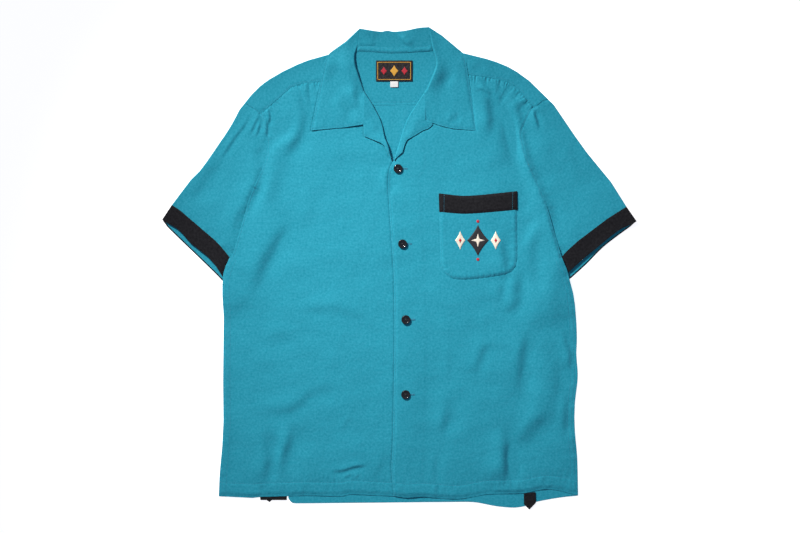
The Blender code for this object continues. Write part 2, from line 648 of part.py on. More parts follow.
def make_collar():
    """The stand behind the neck, the leaf under the yoke, and the leaf's two ends over the
    shoulders. At each side of the neck the collar stands on the front's edge."""
    over = [ring(LINE["neck_" + side], moved_aside(LINE["gorge_" + side], sign * SEAM / 2),
                 LINE["leaf_end_" + side], LINE["leaf_edge_" + side], LINE["leaf_fold_" + side],
                 inset=0)
            for side, sign in (("right", -1), ("left", 1))]
    under = ring(LINE["stand_top"], LINE["leaf_fold_left"], LINE["leaf_under"],
                 LINE["leaf_fold_right"], inset=0)
    foot_right, foot_left = (Vector(CORNERS["stand_foot_" + side]) for side in ("right", "left"))
    stand_foot = [point for point in moved_aside(LINE["back_neck"], SEAM / 2)
                  if foot_right.x + 1 < point.x < foot_left.x - 1]
    stand = ring(LINE["stand_top"], stretch("neck_left", "stand_top_left", "stand_foot_left"),
                 stand_foot, stretch("neck_right", "stand_foot_right", "stand_top_right"),
                 inset=0)

    folds = [moved_aside(LINE[name], way * TURN_WALL) for name, way in
             (("leaf_fold_right", -1), ("leaf_fold_left", 1), ("neck_right", -1),
              ("neck_left", 1), ("stand_top", -1))]
    cuts = [[Vector((foot.x + reach, STAND_WALL_FOOT)) for reach in (-CROSS_REACH, CROSS_REACH)]
            for foot in (foot_right, foot_left)]

    def near(point, *names):
        return any(distance_to_line(LINE[name], point) < TURN_WALL for name in names)

    def slabs_at(point):
        slabs = set()
        if inside(under, point):
            slabs.add(0)
        if inside(stand, point):
            slabs.add(2)
            if near(point, "stand_top"):
                slabs |= {0, 1}
        if any(inside(leaf, point) for leaf in over):
            slabs.add(5)
            if near(point, "leaf_fold_right", "leaf_fold_left"):
                slabs |= {0, 1, 2, 3, 4}
            elif near(point, "neck_right", "neck_left"):
                slabs |= {2, 3, 4} if point.y > STAND_WALL_FOOT else {4}
        return slabs

    layered_solid("collar", "teal",
                  [closed_line(outline) for outline in (*over, under, stand)] + folds + cuts,
                  slabs_at,
                  (level(0), level(CLOTH), level(0, rise), level(CLOTH, rise), front_level(LAYER),
                   front_level(LAYER, roll), front_level(LAYER + CLOTH, roll)))


def make_neck_tape():
    outline = ring(LINE["tape_foot"], LINE["tape_top"], inset=SEAM)
    panel("neck_tape", "teal", outline, level(LAYER, rise))


def make_sleeve(side, sign):
    """A flattened tube, open at the armhole and at its end inside the cuff."""
    inwards = LAYER * sign
    cuff_fold = moved_aside(LINE["cuff_fold_" + side], -inwards)
    tuck = LINE["sleeve_tuck_" + side]
    armhole = stretch("armhole_" + side, "shoulder_end_" + side, "tuck_" + side)
    back_end = moved_aside(LINE["cuff_back_" + side], -CUFF_LIP * sign)
    front_end = moved_aside(LINE["cuff_front_" + side], -CUFF_HIDE * sign)
    lower, upper = (ring(LINE["sleeve_fold_" + side], part_between(cuff_fold, None, end),
                         part_between(end, cuff_fold, tuck), part_between(tuck, None, end)[::-1],
                         armhole)
                    for end in (back_end, front_end))
    flat_tube("sleeve_" + side, "teal", lower, upper,
              [(LINE["sleeve_fold_" + side], -sign), (cuff_fold, -sign), (tuck[1:], sign)],
              (level(0, cuff_lift), level(CLOTH, cuff_lift), level(LAYER, cuff_lift, swell),
               level(LAYER + CLOTH, cuff_lift, swell)))


def make_cuff(side, sign):
    """A band round the sleeve's end, its back layer longer than its front one."""
    top, end = LINE["cuff_top_" + side], LINE["cuff_end_" + side]
    fold = LINE["cuff_fold_" + side]
    lower, upper = (ring(top, stretch_at(end, top[-1], edge[-1]), edge[::-1], fold)
                    for edge in (LINE["cuff_back_" + side], LINE["cuff_front_" + side]))
    flat_tube("cuff_" + side, "black", lower, upper, [(fold, -sign), (end, sign)],
              (level(0), level(CLOTH), level(2 * LAYER, cuff_lift, swell),
               level(2 * LAYER + CLOTH, cuff_lift, swell)))


def make_pocket():
    outline = ring(LINE["pocket_top"], LINE["pocket_side"], LINE["pocket_foot"])
    panel("pocket", "teal", outline, front_level(LAYER, lap))
    band = ring(LINE["band_top"], LINE["band_foot"])
    panel("pocket_band", "black", band, front_level(2 * LAYER, lap))


def make_labels():
    panel("label_main", "label", box_ring(*LABEL_BOX), level(LAYER, rise))
    panel("label_size", "white", box_ring(*SIZE_LABEL_BOX), level(LAYER, rise))


def make_tabs():
    panel("tab_right", "black", ring(TAB_RIGHT), level(0), on_lattice=False)
    panel("tab_left", "black", ring(TAB_LEFT), front_level())


def make_button(name, x, y):
    """A turned button with a raised rim and a dished middle, lying on the left front."""
    radius = BUTTON_DIAMETER / 2
    turns = [math.tau * step / BUTTON_SIDES for step in range(BUTTON_SIDES)]
    cloth_top = front_level(CLOTH, lap)
    spots = [(x + radius * math.cos(turn), y + radius * math.sin(turn)) for turn in turns]
    seat = max(cloth_top(*spot) for spot in [(x, y), *spots]) + SEAM
    mesh = bmesh.new()
    rings = []
    for share, up in BUTTON_PROFILE:
        z = (seat + up * BUTTON_HEIGHT) * MM
        reach = share * radius
        places = [(x + reach * math.cos(turn), y + reach * math.sin(turn)) for turn in turns]
        rings.append([mesh.verts.new((px * MM, py * MM, z))
                      for px, py in (places if share else places[:1])])
    for below, above in zip(rings, rings[1:]):
        for step in range(BUTTON_SIDES):
            after = (step + 1) % BUTTON_SIDES
            if len(below) == 1:
                mesh.faces.new((below[0], above[after], above[step]))
            elif len(above) == 1:
                mesh.faces.new((below[step], below[after], above[0]))
            else:
                mesh.faces.new((below[step], below[after], above[after], above[step]))
    button = made_object(name, "button", mesh)
    button.data.shade_smooth()


def clear_scene():
    for old in list(bpy.data.objects):
        bpy.data.objects.remove(old, do_unlink=True)


SILHOUETTE = silhouette()

clear_scene()
make_materials()
make_back()
make_yoke()
make_front("right", shelf)
make_front("left", lap, shelf)
make_collar()
make_neck_tape()
for side_name, side_sign in (("right", -1), ("left", 1)):
    make_facing(side_name, side_sign)
    make_sleeve(side_name, side_sign)
    make_cuff(side_name, side_sign)
make_pocket()
make_labels()
make_tabs()
for button_name, (button_x, button_y) in BUTTON_PLACES.items():
    make_button(button_name, button_x, button_y)
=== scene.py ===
"""The looks of a short-sleeved camp-collar bowling shirt that lies flat on its back.

Tables and cloth are worked out in millimetres, seen from above: +X is the wearer's left, +Y is
towards the collar and Z is height over the surface. Blender's meshes are in metres. Outlines and
heights are read from the fixed frame, so each piece of cloth lies on the form of its own node.
"""

import math
from functools import lru_cache, partial, reduce

import bmesh
import bpy
import numpy as np
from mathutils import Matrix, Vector
from mathutils.bvhtree import BVHTree
from mathutils.geometry import delaunay_2d_cdt


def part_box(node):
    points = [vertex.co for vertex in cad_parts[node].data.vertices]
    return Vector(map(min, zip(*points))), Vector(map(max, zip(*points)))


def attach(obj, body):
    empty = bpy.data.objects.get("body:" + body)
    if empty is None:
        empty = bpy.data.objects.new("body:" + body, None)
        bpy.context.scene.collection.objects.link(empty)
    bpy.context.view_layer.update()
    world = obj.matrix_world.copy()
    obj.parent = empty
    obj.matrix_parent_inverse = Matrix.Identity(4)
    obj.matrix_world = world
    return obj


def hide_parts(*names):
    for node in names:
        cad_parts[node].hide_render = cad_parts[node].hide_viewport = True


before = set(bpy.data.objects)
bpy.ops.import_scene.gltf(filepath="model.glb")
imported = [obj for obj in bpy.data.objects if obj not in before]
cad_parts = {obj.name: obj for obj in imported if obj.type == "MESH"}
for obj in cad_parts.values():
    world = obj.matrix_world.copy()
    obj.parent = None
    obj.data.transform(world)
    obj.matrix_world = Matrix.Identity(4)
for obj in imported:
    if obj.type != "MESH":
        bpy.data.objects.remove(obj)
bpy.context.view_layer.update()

MM = 0.001
SIDES = {"right": -1, "left": 1}  # the wearer's sides, and the way of X on each

# How finely cloth is made, in millimetres.
STEP = 2.6  # spacing of a sheet's points
HIDDEN_STEP = 5.0  # the same on a sheet that is mostly covered
BACK_STEP = 4.0  # the same on the back
TRIM_STEP = 1.8  # the same on facings, the stand, cuffs and the pocket
FINE_STEP = 1.3  # the same on small trims
FIRST_ROW = 0.9  # a row of points this far inside each outline, which keeps its edge crisp
LINE_ROW = 0.8  # rows of points this far to each side of a line of stitches
TURN_FACES = 8  # faces round a fold
RIM_FACES = 4  # faces round a cut edge
SETTLE_ROUNDS = 90  # rounds of smoothing that turn the frame's flat faces into a soft form
CORNER = math.radians(24)  # an outline keeps its corners that turn more than this
WELD = 1e-6  # metres
WALL_SLOPE = 0.5  # faces of the frame whose normal rises less than this are walls
ABOVE_ALL = 60.0  # rays are cast down from this height
MIDDLE = 5.0  # and where they miss, the nearest place to this height is taken
LEVELLING = 0.12  # how softly heights level out, in square millimetres

# Thickness of the cloth, in millimetres.
SINGLE = 0.7
HEMMED = 0.9
BACK_WALL = 0.95
TAPE = 0.5

# Places on the shirt where two of its edges meet, in plan.
CORNERS = {
    "shoulder_in_right": (-78.0, 341.0), "shoulder_in_left": (68.0, 340.5),
    "shoulder_out_right": (-240.0, 256.0), "shoulder_out_left": (230.6, 262.0),
    "yoke_end_right": (-216.0, 239.0), "yoke_end_left": (210.0, 249.0),
    "yoke_neck_right": (-64.5, 302.0), "yoke_neck_left": (54.0, 306.0),
    "gorge_top_right": (-55.5, 274.6), "gorge_top_left": (38.0, 271.5),
    "notch_right": (-55.8, 222.8), "notch_left": (40.6, 228.7),
    "leaf_point_right": (-137.0, 213.6), "leaf_point_left": (120.0, 213.4),
    "leaf_shoulder_right": (-105.2, 335.8), "leaf_shoulder_left": (95.8, 335.8),
    "stand_top_right": (-62.0, 371.6), "stand_top_left": (45.4, 373.9),
    "roll_foot_right": (-11.8, 167.6), "roll_foot_left": (-8.5, 167.6),
    "lapel_right": (-55.0, 204.8), "lapel_left": (51.3, 222.2),
    "underarm_right": (-262.7, 16.2), "underarm_left": (250.9, 17.3),
    "sleeve_end_right": (-353.0, 98.0), "sleeve_end_left": (352.0, 95.2),
    "cuff_tip_right": (-368.0, 75.5), "cuff_tip_left": (367.5, 73.1),
    "side_foot_right": (-280.0, -353.5), "side_foot_left": (276.7, -352.4),
    "edge_foot_right": (20.0, -355.0), "edge_foot_left": (-8.1, -353.2),
}

# Creases of the upper cloth: half width of the slope, how steeply it falls in the direction of
# FALL, and the points that it runs through. The cloth rises where the steepness is below nothing,
# and both sides level out again.
FALL = np.array((0.587, -0.810))
CREASES = {
    # The right front by its armhole, and the right sleeve.
    "armpit_right_long": (7.5, 0.26, ((-151, 280), (-153, 254), (-149, 232), (-155, 207), (-164, 191),
                                    (-176, 177), (-189, 164))),
    "armpit_right_low": (10.5, 0.14, ((-189, 164), (-191, 146), (-194, 125), (-196, 112), (-206, 100))),
    "armpit_right_ridge": (7, -0.20, ((-164, 243), (-164, 225), (-171, 205), (-191, 191), (-200, 175),
                                        (-206, 159), (-208, 141), (-212, 120), (-219, 105), (-232, 84))),
    "armhole_right": (7.5, 0.22, ((-212, 205), (-214, 186), (-219, 177), (-216, 155), (-220, 127),
                                (-228, 114), (-235, 96), (-248, 80), (-255, 50), (-259, 30))),
    "chest_right": (9, 0.30, ((-176, 66), (-182, 56), (-190, 42), (-199, 26), (-206, 13), (-212, 0),
                              (-218, -18), (-224, -30))),
    "chest_right_tail": (10, 0.07, ((-228, -37), (-241, -50), (-255, -66))),
    "sleeve_right_top": (2.4, 0.45, ((-230, 241), (-241, 220), (-255, 202), (-268, 182),
                                     (-280, 166))),
    "sleeve_right_low": (7.5, 0.26, ((-280, 166), (-287, 155), (-298, 143), (-309, 127),
                                     (-320, 112))),
    "sleeve_right_short": (2.0, 0.55, ((-216, 239), (-223, 225), (-231, 207))),
    "placket_dent": (4.5, 0.28, ((-15, 152), (-17, 138), (-16, 118))),
    "pleat_right_sleeve": (1.8, 0.50, ((-214.4, 231.2), (-216.7, 219.9), (-221.3, 203.9))),
    "pleat_right_front": (1.8, 0.60, ((-203, 247.3), (-200.7, 231.2), (-203, 222.2))),
    "pleat_right_seam": (1.8, 0.50, ((-206.5, 232), (-205, 215), (-206, 203))),
    "shoulder_right": (1.8, 0.22, ((-240, 257), (-221, 243))),
    "chest_right_faint": (6, 0.07, ((-169, 254), (-169, 225), (-178, 206))),
    "chest_right_broad": (9, 0.05, ((-83, 180), (-60, 168))),
    "chest_right_upright": (7.5, 0.05, ((-135, 118), (-135, 82))),
    # The right front below the chest.
    "waist_right_level": (7, 0.13, ((-155, -63), (-133, -64), (-100, -63), (-81, -69), (-62, -76))),
    "waist_right_short": (6, 0.05, ((-155, -46), (-126, -31))),
    "waist_right_low": (7.5, 0.06, ((-194, -101), (-165, -108))),
    "belly_right_arc": (7, 0.14, ((-213, -206), (-200, -217), (-175, -220), (-155, -211),
                                    (-139, -195), (-120, -188), (-97, -187))),
    "skirt_right_outer": (7.5, 0.19, ((-210, -253), (-207, -279), (-204, -304), (-207, -336))),
    "skirt_right_ridge": (6, -0.19, ((-187, -256), (-186, -279), (-191, -308), (-196, -330))),
    "skirt_right_inner": (7.5, 0.26, ((-168, -246), (-170, -269), (-178, -288), (-183, -311))),
    "hem_right_pucker": (2.5, 0.42, ((-107, -315), (-88, -314), (-72, -309), (-49, -306))),
    "hem_right_curl_1": (2.1, 0.22, ((-84, -325), (-75, -320))),
    "hem_right_curl_2": (2.1, 0.22, ((-68, -326), (-62, -320))),
    "skirt_right_slant_1": (4, 0.08, ((-72, -230), (-81, -240), (-91, -253))),
    "skirt_right_slant_2": (4, 0.06, ((-52, -262), (-59, -279))),
    "skirt_right_slant_3": (6, 0.10, ((-26, -298), (-33, -317))),
    "flank_right": (6, 0.06, ((-262, -100), (-263, -180), (-264, -260), (-266, -340))),
    "hem_right_tick_1": (2.1, 0.18, ((-149, -338), (-149, -351))),
    "hem_right_tick_2": (2.1, 0.18, ((-216, -338), (-216, -351))),
    # The left front by its armhole, the left shoulder and the left sleeve.
    "shoulder_left_tuck": (2.4, 0.35, ((121, 279), (132, 274), (138, 268))),
    "shoulder_left_band": (7.5, 0.24, ((134, 284), (137, 266), (139, 245), (141, 230), (139, 205))),
    "shoulder_left_band_2": (4.5, 0.22, ((155, 292), (155, 273), (157, 256))),
    "armpit_left_broad": (10.5, 0.16, ((162, 236), (164, 209), (169, 186), (173, 173))),
    "armpit_left_ridge": (7, -0.20, ((168, 268), (171, 245), (178, 223), (182, 196), (189, 168),
                                       (200, 143), (216, 109))),
    "armhole_left": (6, 0.18, ((180, 282), (178, 270), (182, 254), (187, 232), (190, 211), (196, 186),
                               (199, 171), (206, 150), (216, 130), (227, 105), (237, 78), (241, 55),
                               (247, 35))),
    "armhole_left_top": (6, 0.10, ((182, 257), (193, 254), (205, 248), (208, 239))),
    "sleeve_left_short": (2.2, 0.50, ((208, 244), (212, 232), (217, 217))),
    "shoulder_left": (1.8, 0.22, ((210, 250), (227, 261))),
    "yoke_left_streak": (4, 0.22, ((112, 309), (125, 316))),
    "yoke_left_streak_2": (6, 0.07, ((168, 286), (182, 297))),
    "sleeve_left_soft": (6, 0.07, ((261, 186), (270, 168), (282, 155))),
    "sleeve_left_broad": (15, 0.05, ((218, 166), (239, 184))),
    "chest_left_light": (12, -0.10, ((200, 118), (205, 96))),
    "chest_left_light_2": (6, -0.13, ((216, 80), (205, 59), (196, 41), (191, 30))),
    "chest_left_dark": (7.5, 0.12, ((216, 55), (209, 41), (205, 30))),
    "pocket_side": (6, 0.20, ((156, 50), (160, 37), (163, 15), (166, 2), (171, -6))),
    # The left front below the chest.
    "waist_left": (7.5, 0.27, ((183, -11), (184, -34), (181, -53), (168, -66))),
    "waist_left_light": (6, -0.14, ((172, -18), (165, -43))),
    "waist_left_inner": (6, 0.12, ((159, -27), (155, -47))),
    "waist_left_outer": (9, 0.12, ((210, 37), (207, 11), (210, -21), (213, -53))),
    "waist_left_pale": (18, -0.05, ((226, 18), (226, -11))),
    "belly_left_arc": (6, 0.16, ((118, -163), (125, -140), (130, -127), (139, -118))),
    "belly_left_level": (6, 0.05, ((139, -118), (178, -124))),
    "belly_left_short": (4, 0.05, ((135, -75), (134, -92))),
    "belly_left_upright": (7.5, 0.16, ((194, -101), (191, -127), (188, -156), (186, -192))),
    "belly_left_pale": (12, -0.08, ((207, -137), (207, -182), (200, -214), (184, -230))),
    "belly_left_outer": (9, 0.11, ((239, -150), (242, -182), (239, -211))),
    "skirt_left_slant": (10.5, 0.16, ((239, -227), (223, -233), (207, -243), (194, -262), (184, -282))),
    "skirt_left_pale": (9, -0.10, ((207, -220), (184, -246), (172, -266))),
    "hem_left_fold": (8.5, 0.30, ((160, -256), (165, -275), (166, -298), (170, -327))),
    "hem_left_pale": (6, -0.12, ((175, -279), (181, -311), (188, -330))),
    "facing_edge": (7.5, 0.19, ((73, -198), (72, -224), (68, -253))),
    "facing_edge_low": (4, 0.10, ((59, -282), (54, -311), (54, -340))),
    "facing_edge_high": (4, 0.04, ((78, -60), (78, -125), (77, -190))),
    "flank_left": (4, 0.20, ((252, -101), (262, -124), (266, -140), (265, -156))),
    "flank_left_low": (4.5, 0.18, ((258, -192), (257, -230), (255, -262))),
    "flank_left_broad": (15, 0.06, ((238, -27), (252, -69))),
    "hem_left_tick_1": (2.3, 0.15, ((223, -324), (223, -336))),
    "hem_left_tick_2": (2.3, 0.15, ((57, -338), (57, -352))),
}
CREASE_FADE = 0.32  # share of a crease's length over which each of its ends fades
CREASE_LEAD = 1.6  # how far a crease runs on past its points, in half widths
CREASE_REACH = 6  # how far to each side a crease is worked out, in half widths
CREASE_LEVEL = 3  # how far from a crease the cloth levels out, in half widths
LEAST_LEAN = 0.5  # a crease along FALL is no steeper than one that leans this much

LEAF_CREASES = {
    "leaf_right_roll": (11, 0.14, ((-91, 311), (-82, 300), (-72, 288))),
    "leaf_right_gorge": (5, 0.18, ((-71, 277), (-67, 261), (-64, 254))),
    "leaf_right_middle": (7, 0.13, ((-89, 263), (-85, 248), (-80, 236))),
    "leaf_left_roll": (9, 0.26, ((44, 380), (49, 360), (55, 340), (61, 320), (65, 303), (61, 291),
                                 (53, 281), (44, 274))),
    "leaf_left_ridge": (6, -0.12, ((78, 318), (82, 300), (72, 280))),
    "leaf_left_pinch": (2.8, 0.18, ((80, 238), (80, 229))),
    "leaf_left_pinch_2": (2.8, 0.18, ((88, 238), (86, 229))),
}
STAND_CREASES = {
    "stand_pinch": (3.5, 0.45, ((0, 358), (6, 350), (14, 344))),
    "stand_pinch_2": (3, 0.30, ((-58, 347), (-48, 344), (-36, 346))),
    "stand_wave": (13.5, 0.14, ((-38, 340), (-34, 356), (-30, 370))),
    "stand_wave_2": (13.5, -0.12, ((-12, 340), (-10, 356), (-8, 370))),
}
BACK_CREASES = {
    "inside_back": (6, 0.08, ((14, 250), (12, 226), (8, 200))),
    "inside_back_2": (4, 0.07, ((-8, 250), (-9, 236), (-8, 224))),
}

# Gathers of the fronts below the yoke. Each row: distance along the seam from the armhole, how
# far it reaches down the front, half width and depth.
GATHERS = {
    "right": ((12, 40, 3.2, 0.7), (29, 34, 3.4, -0.8), (57, 30, 3.0, 0.6), (76, 40, 3.4, -0.7),
              (84, 52, 3.8, 0.9), (92, 60, 3.6, -1.1), (113, 30, 2.8, 0.7)),
    "left": ((13, 36, 3.2, -0.9), (22, 24, 2.8, 0.7), (32, 44, 3.6, -0.9), (51, 48, 3.6, -1.0),
             (60, 30, 3.0, 0.8), (70, 40, 3.4, -0.9), (92, 26, 3.2, -0.7)),
}
# Fine pleats between them: where each run of pleats starts and stops along the seam, their pitch
# and the seed of their unevenness.
PLEATS = {"right": ((2, 42, 6.4, 111), (58, 158, 5.4, 112)),
          "left": ((3, 78, 6.0, 113), (84, 140, 7.5, 114))}

# Creases near the hem that need finer cloth.
FINE_HEM = {"right": ((-104, -318), (-52, -310)), "left": ((160, -345), (180, -345))}

# The cloth's own unevenness: wavelength, height and seed of each layer of ripples.
RIPPLES = {
    "body": ((95.0, 0.32, 1), (38.0, 0.13, 2), (15.0, 0.045, 3)),
    "creases": ((70.0, 0.12, 7),),
    "back": ((60.0, 0.10, 11),),
    "yoke_lower": ((40.0, 0.08, 12),),
    "facing": ((40.0, 0.12, 41), (15.0, 0.05, 42)),
    "leaf": ((60.0, 0.20, 51), (16.0, 0.05, 52)),
    "stand": ((34.0, 0.16, 54), (14.0, 0.06, 55)),
    "neck_tape": ((22.0, 0.14, 61), (9.0, 0.06, 62)),
    "cuff": ((30.0, 0.14, 81), (12.0, 0.05, 82)),
    "tab": ((14.0, 0.12, 95),),
    "label_main": ((30.0, 0.10, 97),),
}
RIPPLE_WAVES = 18  # in each layer

# Puckers along seams and stitches: pitch, reach to each side, height and seed.
PUCKERS = {
    "yoke": (8.0, 8.0, 0.16, 21), "yoke_lower": (13.0, 12.0, 0.12, 22),
    "arm": (12.0, 8.0, 0.13, 31), "hem_stitch": (10.0, 11.0, 0.17, 32),
    "hem": (26.0, 7.0, 0.25, 33), "flank": (24.0, 9.0, 0.16, 34),
    "front_edge": (30.0, 6.0, 0.10, 35), "facing": (16.0, 8.0, 0.14, 43),
    "leaf": (18.0, 9.0, 0.13, 53), "sleeve_head": (14.0, 9.0, 0.14, 71),
    "sleeve_end": (16.0, 8.0, 0.16, 72), "pocket": (15.0, 9.0, 0.17, 91),
    "pocket_foot": (6.0, 7.0, 0.22, 92),
}
PUCKER_WAVES = 7

# Grooves that stitches press in: half width and depth.
GROOVES = {"seam": (0.9, 0.2), "edge": (0.9, 0.22), "flank": (1.1, 0.16), "hem": (1.0, 0.28),
           "back_hem": (1.0, 0.2), "yoke_lower": (1.0, 0.15)}

BUTTON_PLACES = {"button_1": (-2.2, 154.0), "button_2": (4.8, 37.6), "button_3": (9.9, -79.7),
                 "button_4": (9.5, -195.7)}


# Lines and outlines, in plan. A run is an array of points; an outline is a closed run, anticlockwise.

def ramp(value, nothing, full):
    """0 up to the value for nothing, 1 from the value for full, and a smooth rise between."""
    share = np.clip((np.asarray(value, float) - nothing) / (full - nothing), 0, 1)
    return share * share * (3 - 2 * share)


def lengths_along(run):
    return np.concatenate(([0.0], np.cumsum(np.linalg.norm(np.diff(run, axis=0), axis=1))))


def smooth_run(run, step=STEP):
    """Points about a step apart on a smooth curve through all points of a run."""
    run = np.asarray(run, float)
    padded = np.vstack((2 * run[0] - run[1], run, 2 * run[-1] - run[-2]))
    made = [run[:1]]
    for before, start, stop, after in zip(padded, padded[1:], padded[2:], padded[3:]):
        chord = np.linalg.norm(stop - start)
        leave = (stop - before) * chord / (chord + np.linalg.norm(start - before))
        reach = (after - start) * chord / (chord + np.linalg.norm(after - stop))
        t = np.linspace(0, 1, max(1, round(chord / step)) + 1)[1:, None]
        made.append(start * (1 + 2 * t) * (1 - t) ** 2 + leave * t * (1 - t) ** 2
                    + stop * (3 - 2 * t) * t ** 2 - reach * t ** 2 * (1 - t))
    return np.vstack(made)


def smooth_outline(outline, step=STEP, corner=CORNER):
    """The same for an outline, which keeps its corners that turn more than an angle."""
    ahead = np.roll(outline, -1, axis=0) - outline
    turn = np.arctan2(*ahead.T[::-1]) - np.arctan2(*np.roll(ahead, 1, axis=0).T[::-1])
    turn = np.abs((turn + math.pi) % math.tau - math.pi)
    corners = np.flatnonzero(turn > corner)
    if len(corners) == 0:
        corners = np.array([0])
    outline = np.roll(outline, -corners[0], axis=0)
    corners = list(corners - corners[0]) + [len(outline)]
    closed = np.vstack((outline, outline[:1]))
    return np.vstack([smooth_run(closed[first:last + 1], step)[:-1]
                      for first, last in zip(corners, corners[1:])])


def away(points, run, want_along=False):
    """Distance of each point from a run, and if wanted the length along it and the side."""
    best = np.full(len(points), np.inf)
    along = np.zeros(len(points))
    side = np.ones(len(points))
    starts, spans = run[:-1], np.diff(run, axis=0)
    squares = np.maximum((spans ** 2).sum(1), 1e-9)
    gone = lengths_along(run)
    for start, span, square, before in zip(starts, spans, squares, gone):
        offset = points - start
        share = np.clip(offset @ span / square, 0, 1)
        off = offset - share[:, None] * span
        distance = np.hypot(off[:, 0], off[:, 1])
        nearer = distance < best
        best[nearer] = distance[nearer]
        if want_along:
            along[nearer] = (before + share * math.sqrt(square))[nearer]
            cross = span[0] * offset[:, 1] - span[1] * offset[:, 0]
            side[nearer] = np.sign(cross)[nearer]
    return (best, along, side) if want_along else best


def closed(outline):
    return np.vstack((outline, outline[:1]))


def within(points, outline):
    """Which points lie inside an outline."""
    crossings = np.zeros(len(points), bool)
    for a, b in zip(outline, np.roll(outline, -1, axis=0)):
        if a[1] == b[1]:
            continue
        spans = (a[1] > points[:, 1]) != (b[1] > points[:, 1])
        slant = (b[0] - a[0]) / (b[1] - a[1])
        crossings ^= spans & (points[:, 0] < a[0] + (points[:, 1] - a[1]) * slant)
    return crossings


def outward(run, is_closed=False):
    """Unit vectors to the right of a run's way, which is out of an anticlockwise outline."""
    if is_closed:
        ahead = np.roll(run, -1, axis=0) - run
        behind = run - np.roll(run, 1, axis=0)
    else:
        steps = np.diff(run, axis=0)
        ahead = np.vstack((steps, steps[-1:]))
        behind = np.vstack((steps[:1], steps))
    ahead /= np.maximum(np.linalg.norm(ahead, axis=1, keepdims=True), 1e-9)
    behind /= np.maximum(np.linalg.norm(behind, axis=1, keepdims=True), 1e-9)
    middle = ahead + behind
    middle /= np.maximum(np.linalg.norm(middle, axis=1, keepdims=True), 1e-9)
    return np.column_stack((middle[:, 1], -middle[:, 0]))


def moved_out(outline, distance):
    """An outline moved outwards by a distance, or by one for each point."""
    return outline + outward(outline, True) * np.broadcast_to(distance, len(outline))[:, None]


def moved_run(run, distance):
    """A run moved to its right."""
    return run + outward(run) * distance


def from_corner(points, name):
    """Distance of each point from a named corner."""
    return np.hypot(*(points - CORNERS[name]).T)


def cut(outline, start, stop):
    """The part of an outline from near one named corner, anticlockwise, to near another."""
    first = from_corner(outline, start).argmin()
    last = from_corner(outline, stop).argmin()
    return np.roll(outline, -first, axis=0)[:(last - first) % len(outline) + 1]


def side_cut(outline, side, start, stop):
    """The part of an outline between two corners of one side. They are named in their
    anticlockwise order on the right side, which is the other way round on the left."""
    ends = (start, stop) if side == "right" else (stop, start)
    return cut(outline, *(f"{end}_{side}" for end in ends))


def circle(x, y, radius, count=24):
    turns = np.linspace(0, math.tau, count, endpoint=False)
    return np.column_stack((x + radius * np.cos(turns), y + radius * np.sin(turns)))


# The frame's own faces.

@lru_cache(maxsize=None)
def node_mesh(node):
    """A CAD node with its loose triangles joined, and a tree to cast rays at it."""
    mesh = bmesh.new()
    mesh.from_mesh(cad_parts[node].data)
    bmesh.ops.remove_doubles(mesh, verts=mesh.verts, dist=WELD)
    bmesh.ops.recalc_face_normals(mesh, faces=mesh.faces)
    mesh.faces.ensure_lookup_table()
    mesh.faces.index_update()
    mesh.verts.index_update()
    return mesh, BVHTree.FromBMesh(mesh)


def form(node, x, y, below=False):
    """The level faces that are seen at a place from above or below, up to the walls round them:
    their outline, and their heights as a tree."""
    mesh, tree = node_mesh(node)
    way = -1 if below else 1
    hit = tree.ray_cast(Vector((x * MM, y * MM, way)), Vector((0, 0, -way)))
    if hit[2] is None:
        raise ValueError(f"{node} has nothing at {x}, {y}")
    found = {mesh.faces[hit[2]]}
    edge_of_search = list(found)
    while edge_of_search:
        face = edge_of_search.pop()
        for edge in face.edges:
            for other in edge.link_faces:
                if other not in found and other.normal.z * way > WALL_SLOPE:
                    found.add(other)
                    edge_of_search.append(other)
    faces = sorted(found, key=lambda face: face.index)  # a set of faces has no sure order
    follow = {}
    for face in faces:
        for loop in face.loops:
            if not any(other in found for other in loop.edge.link_faces if other != face):
                follow[loop.vert] = loop.link_loop_next.vert
    rings = []
    while follow:
        first, after = follow.popitem()
        ring = [first]
        while after in follow:
            ring.append(after)
            after = follow.pop(after)
        rings.append(ring)
    ring = max(rings, key=len)
    outline = np.array([vert.co[:2] for vert in ring[::way]]) / MM
    corners = sorted({vert for face in faces for vert in face.verts}, key=lambda vert: vert.index)
    number = {vert: index for index, vert in enumerate(corners)}
    heights = BVHTree.FromPolygons([vert.co / MM for vert in corners],
                                   [[number[vert] for vert in face.verts] for face in faces])
    return outline, heights


def height_on(tree, points):
    """Heights of a tree's surface at points of the plan, seen from above, or at the nearest place
    where there is none above."""
    heights = np.empty(len(points))
    for index, (x, y) in enumerate(points):
        hit = tree.ray_cast(Vector((x, y, ABOVE_ALL)), Vector((0, 0, -1)))[0]
        if hit is None:
            hit = tree.find_nearest(Vector((x, y, MIDDLE)))[0]
        heights[index] = hit.z
    return heights


# The cloth's shape.

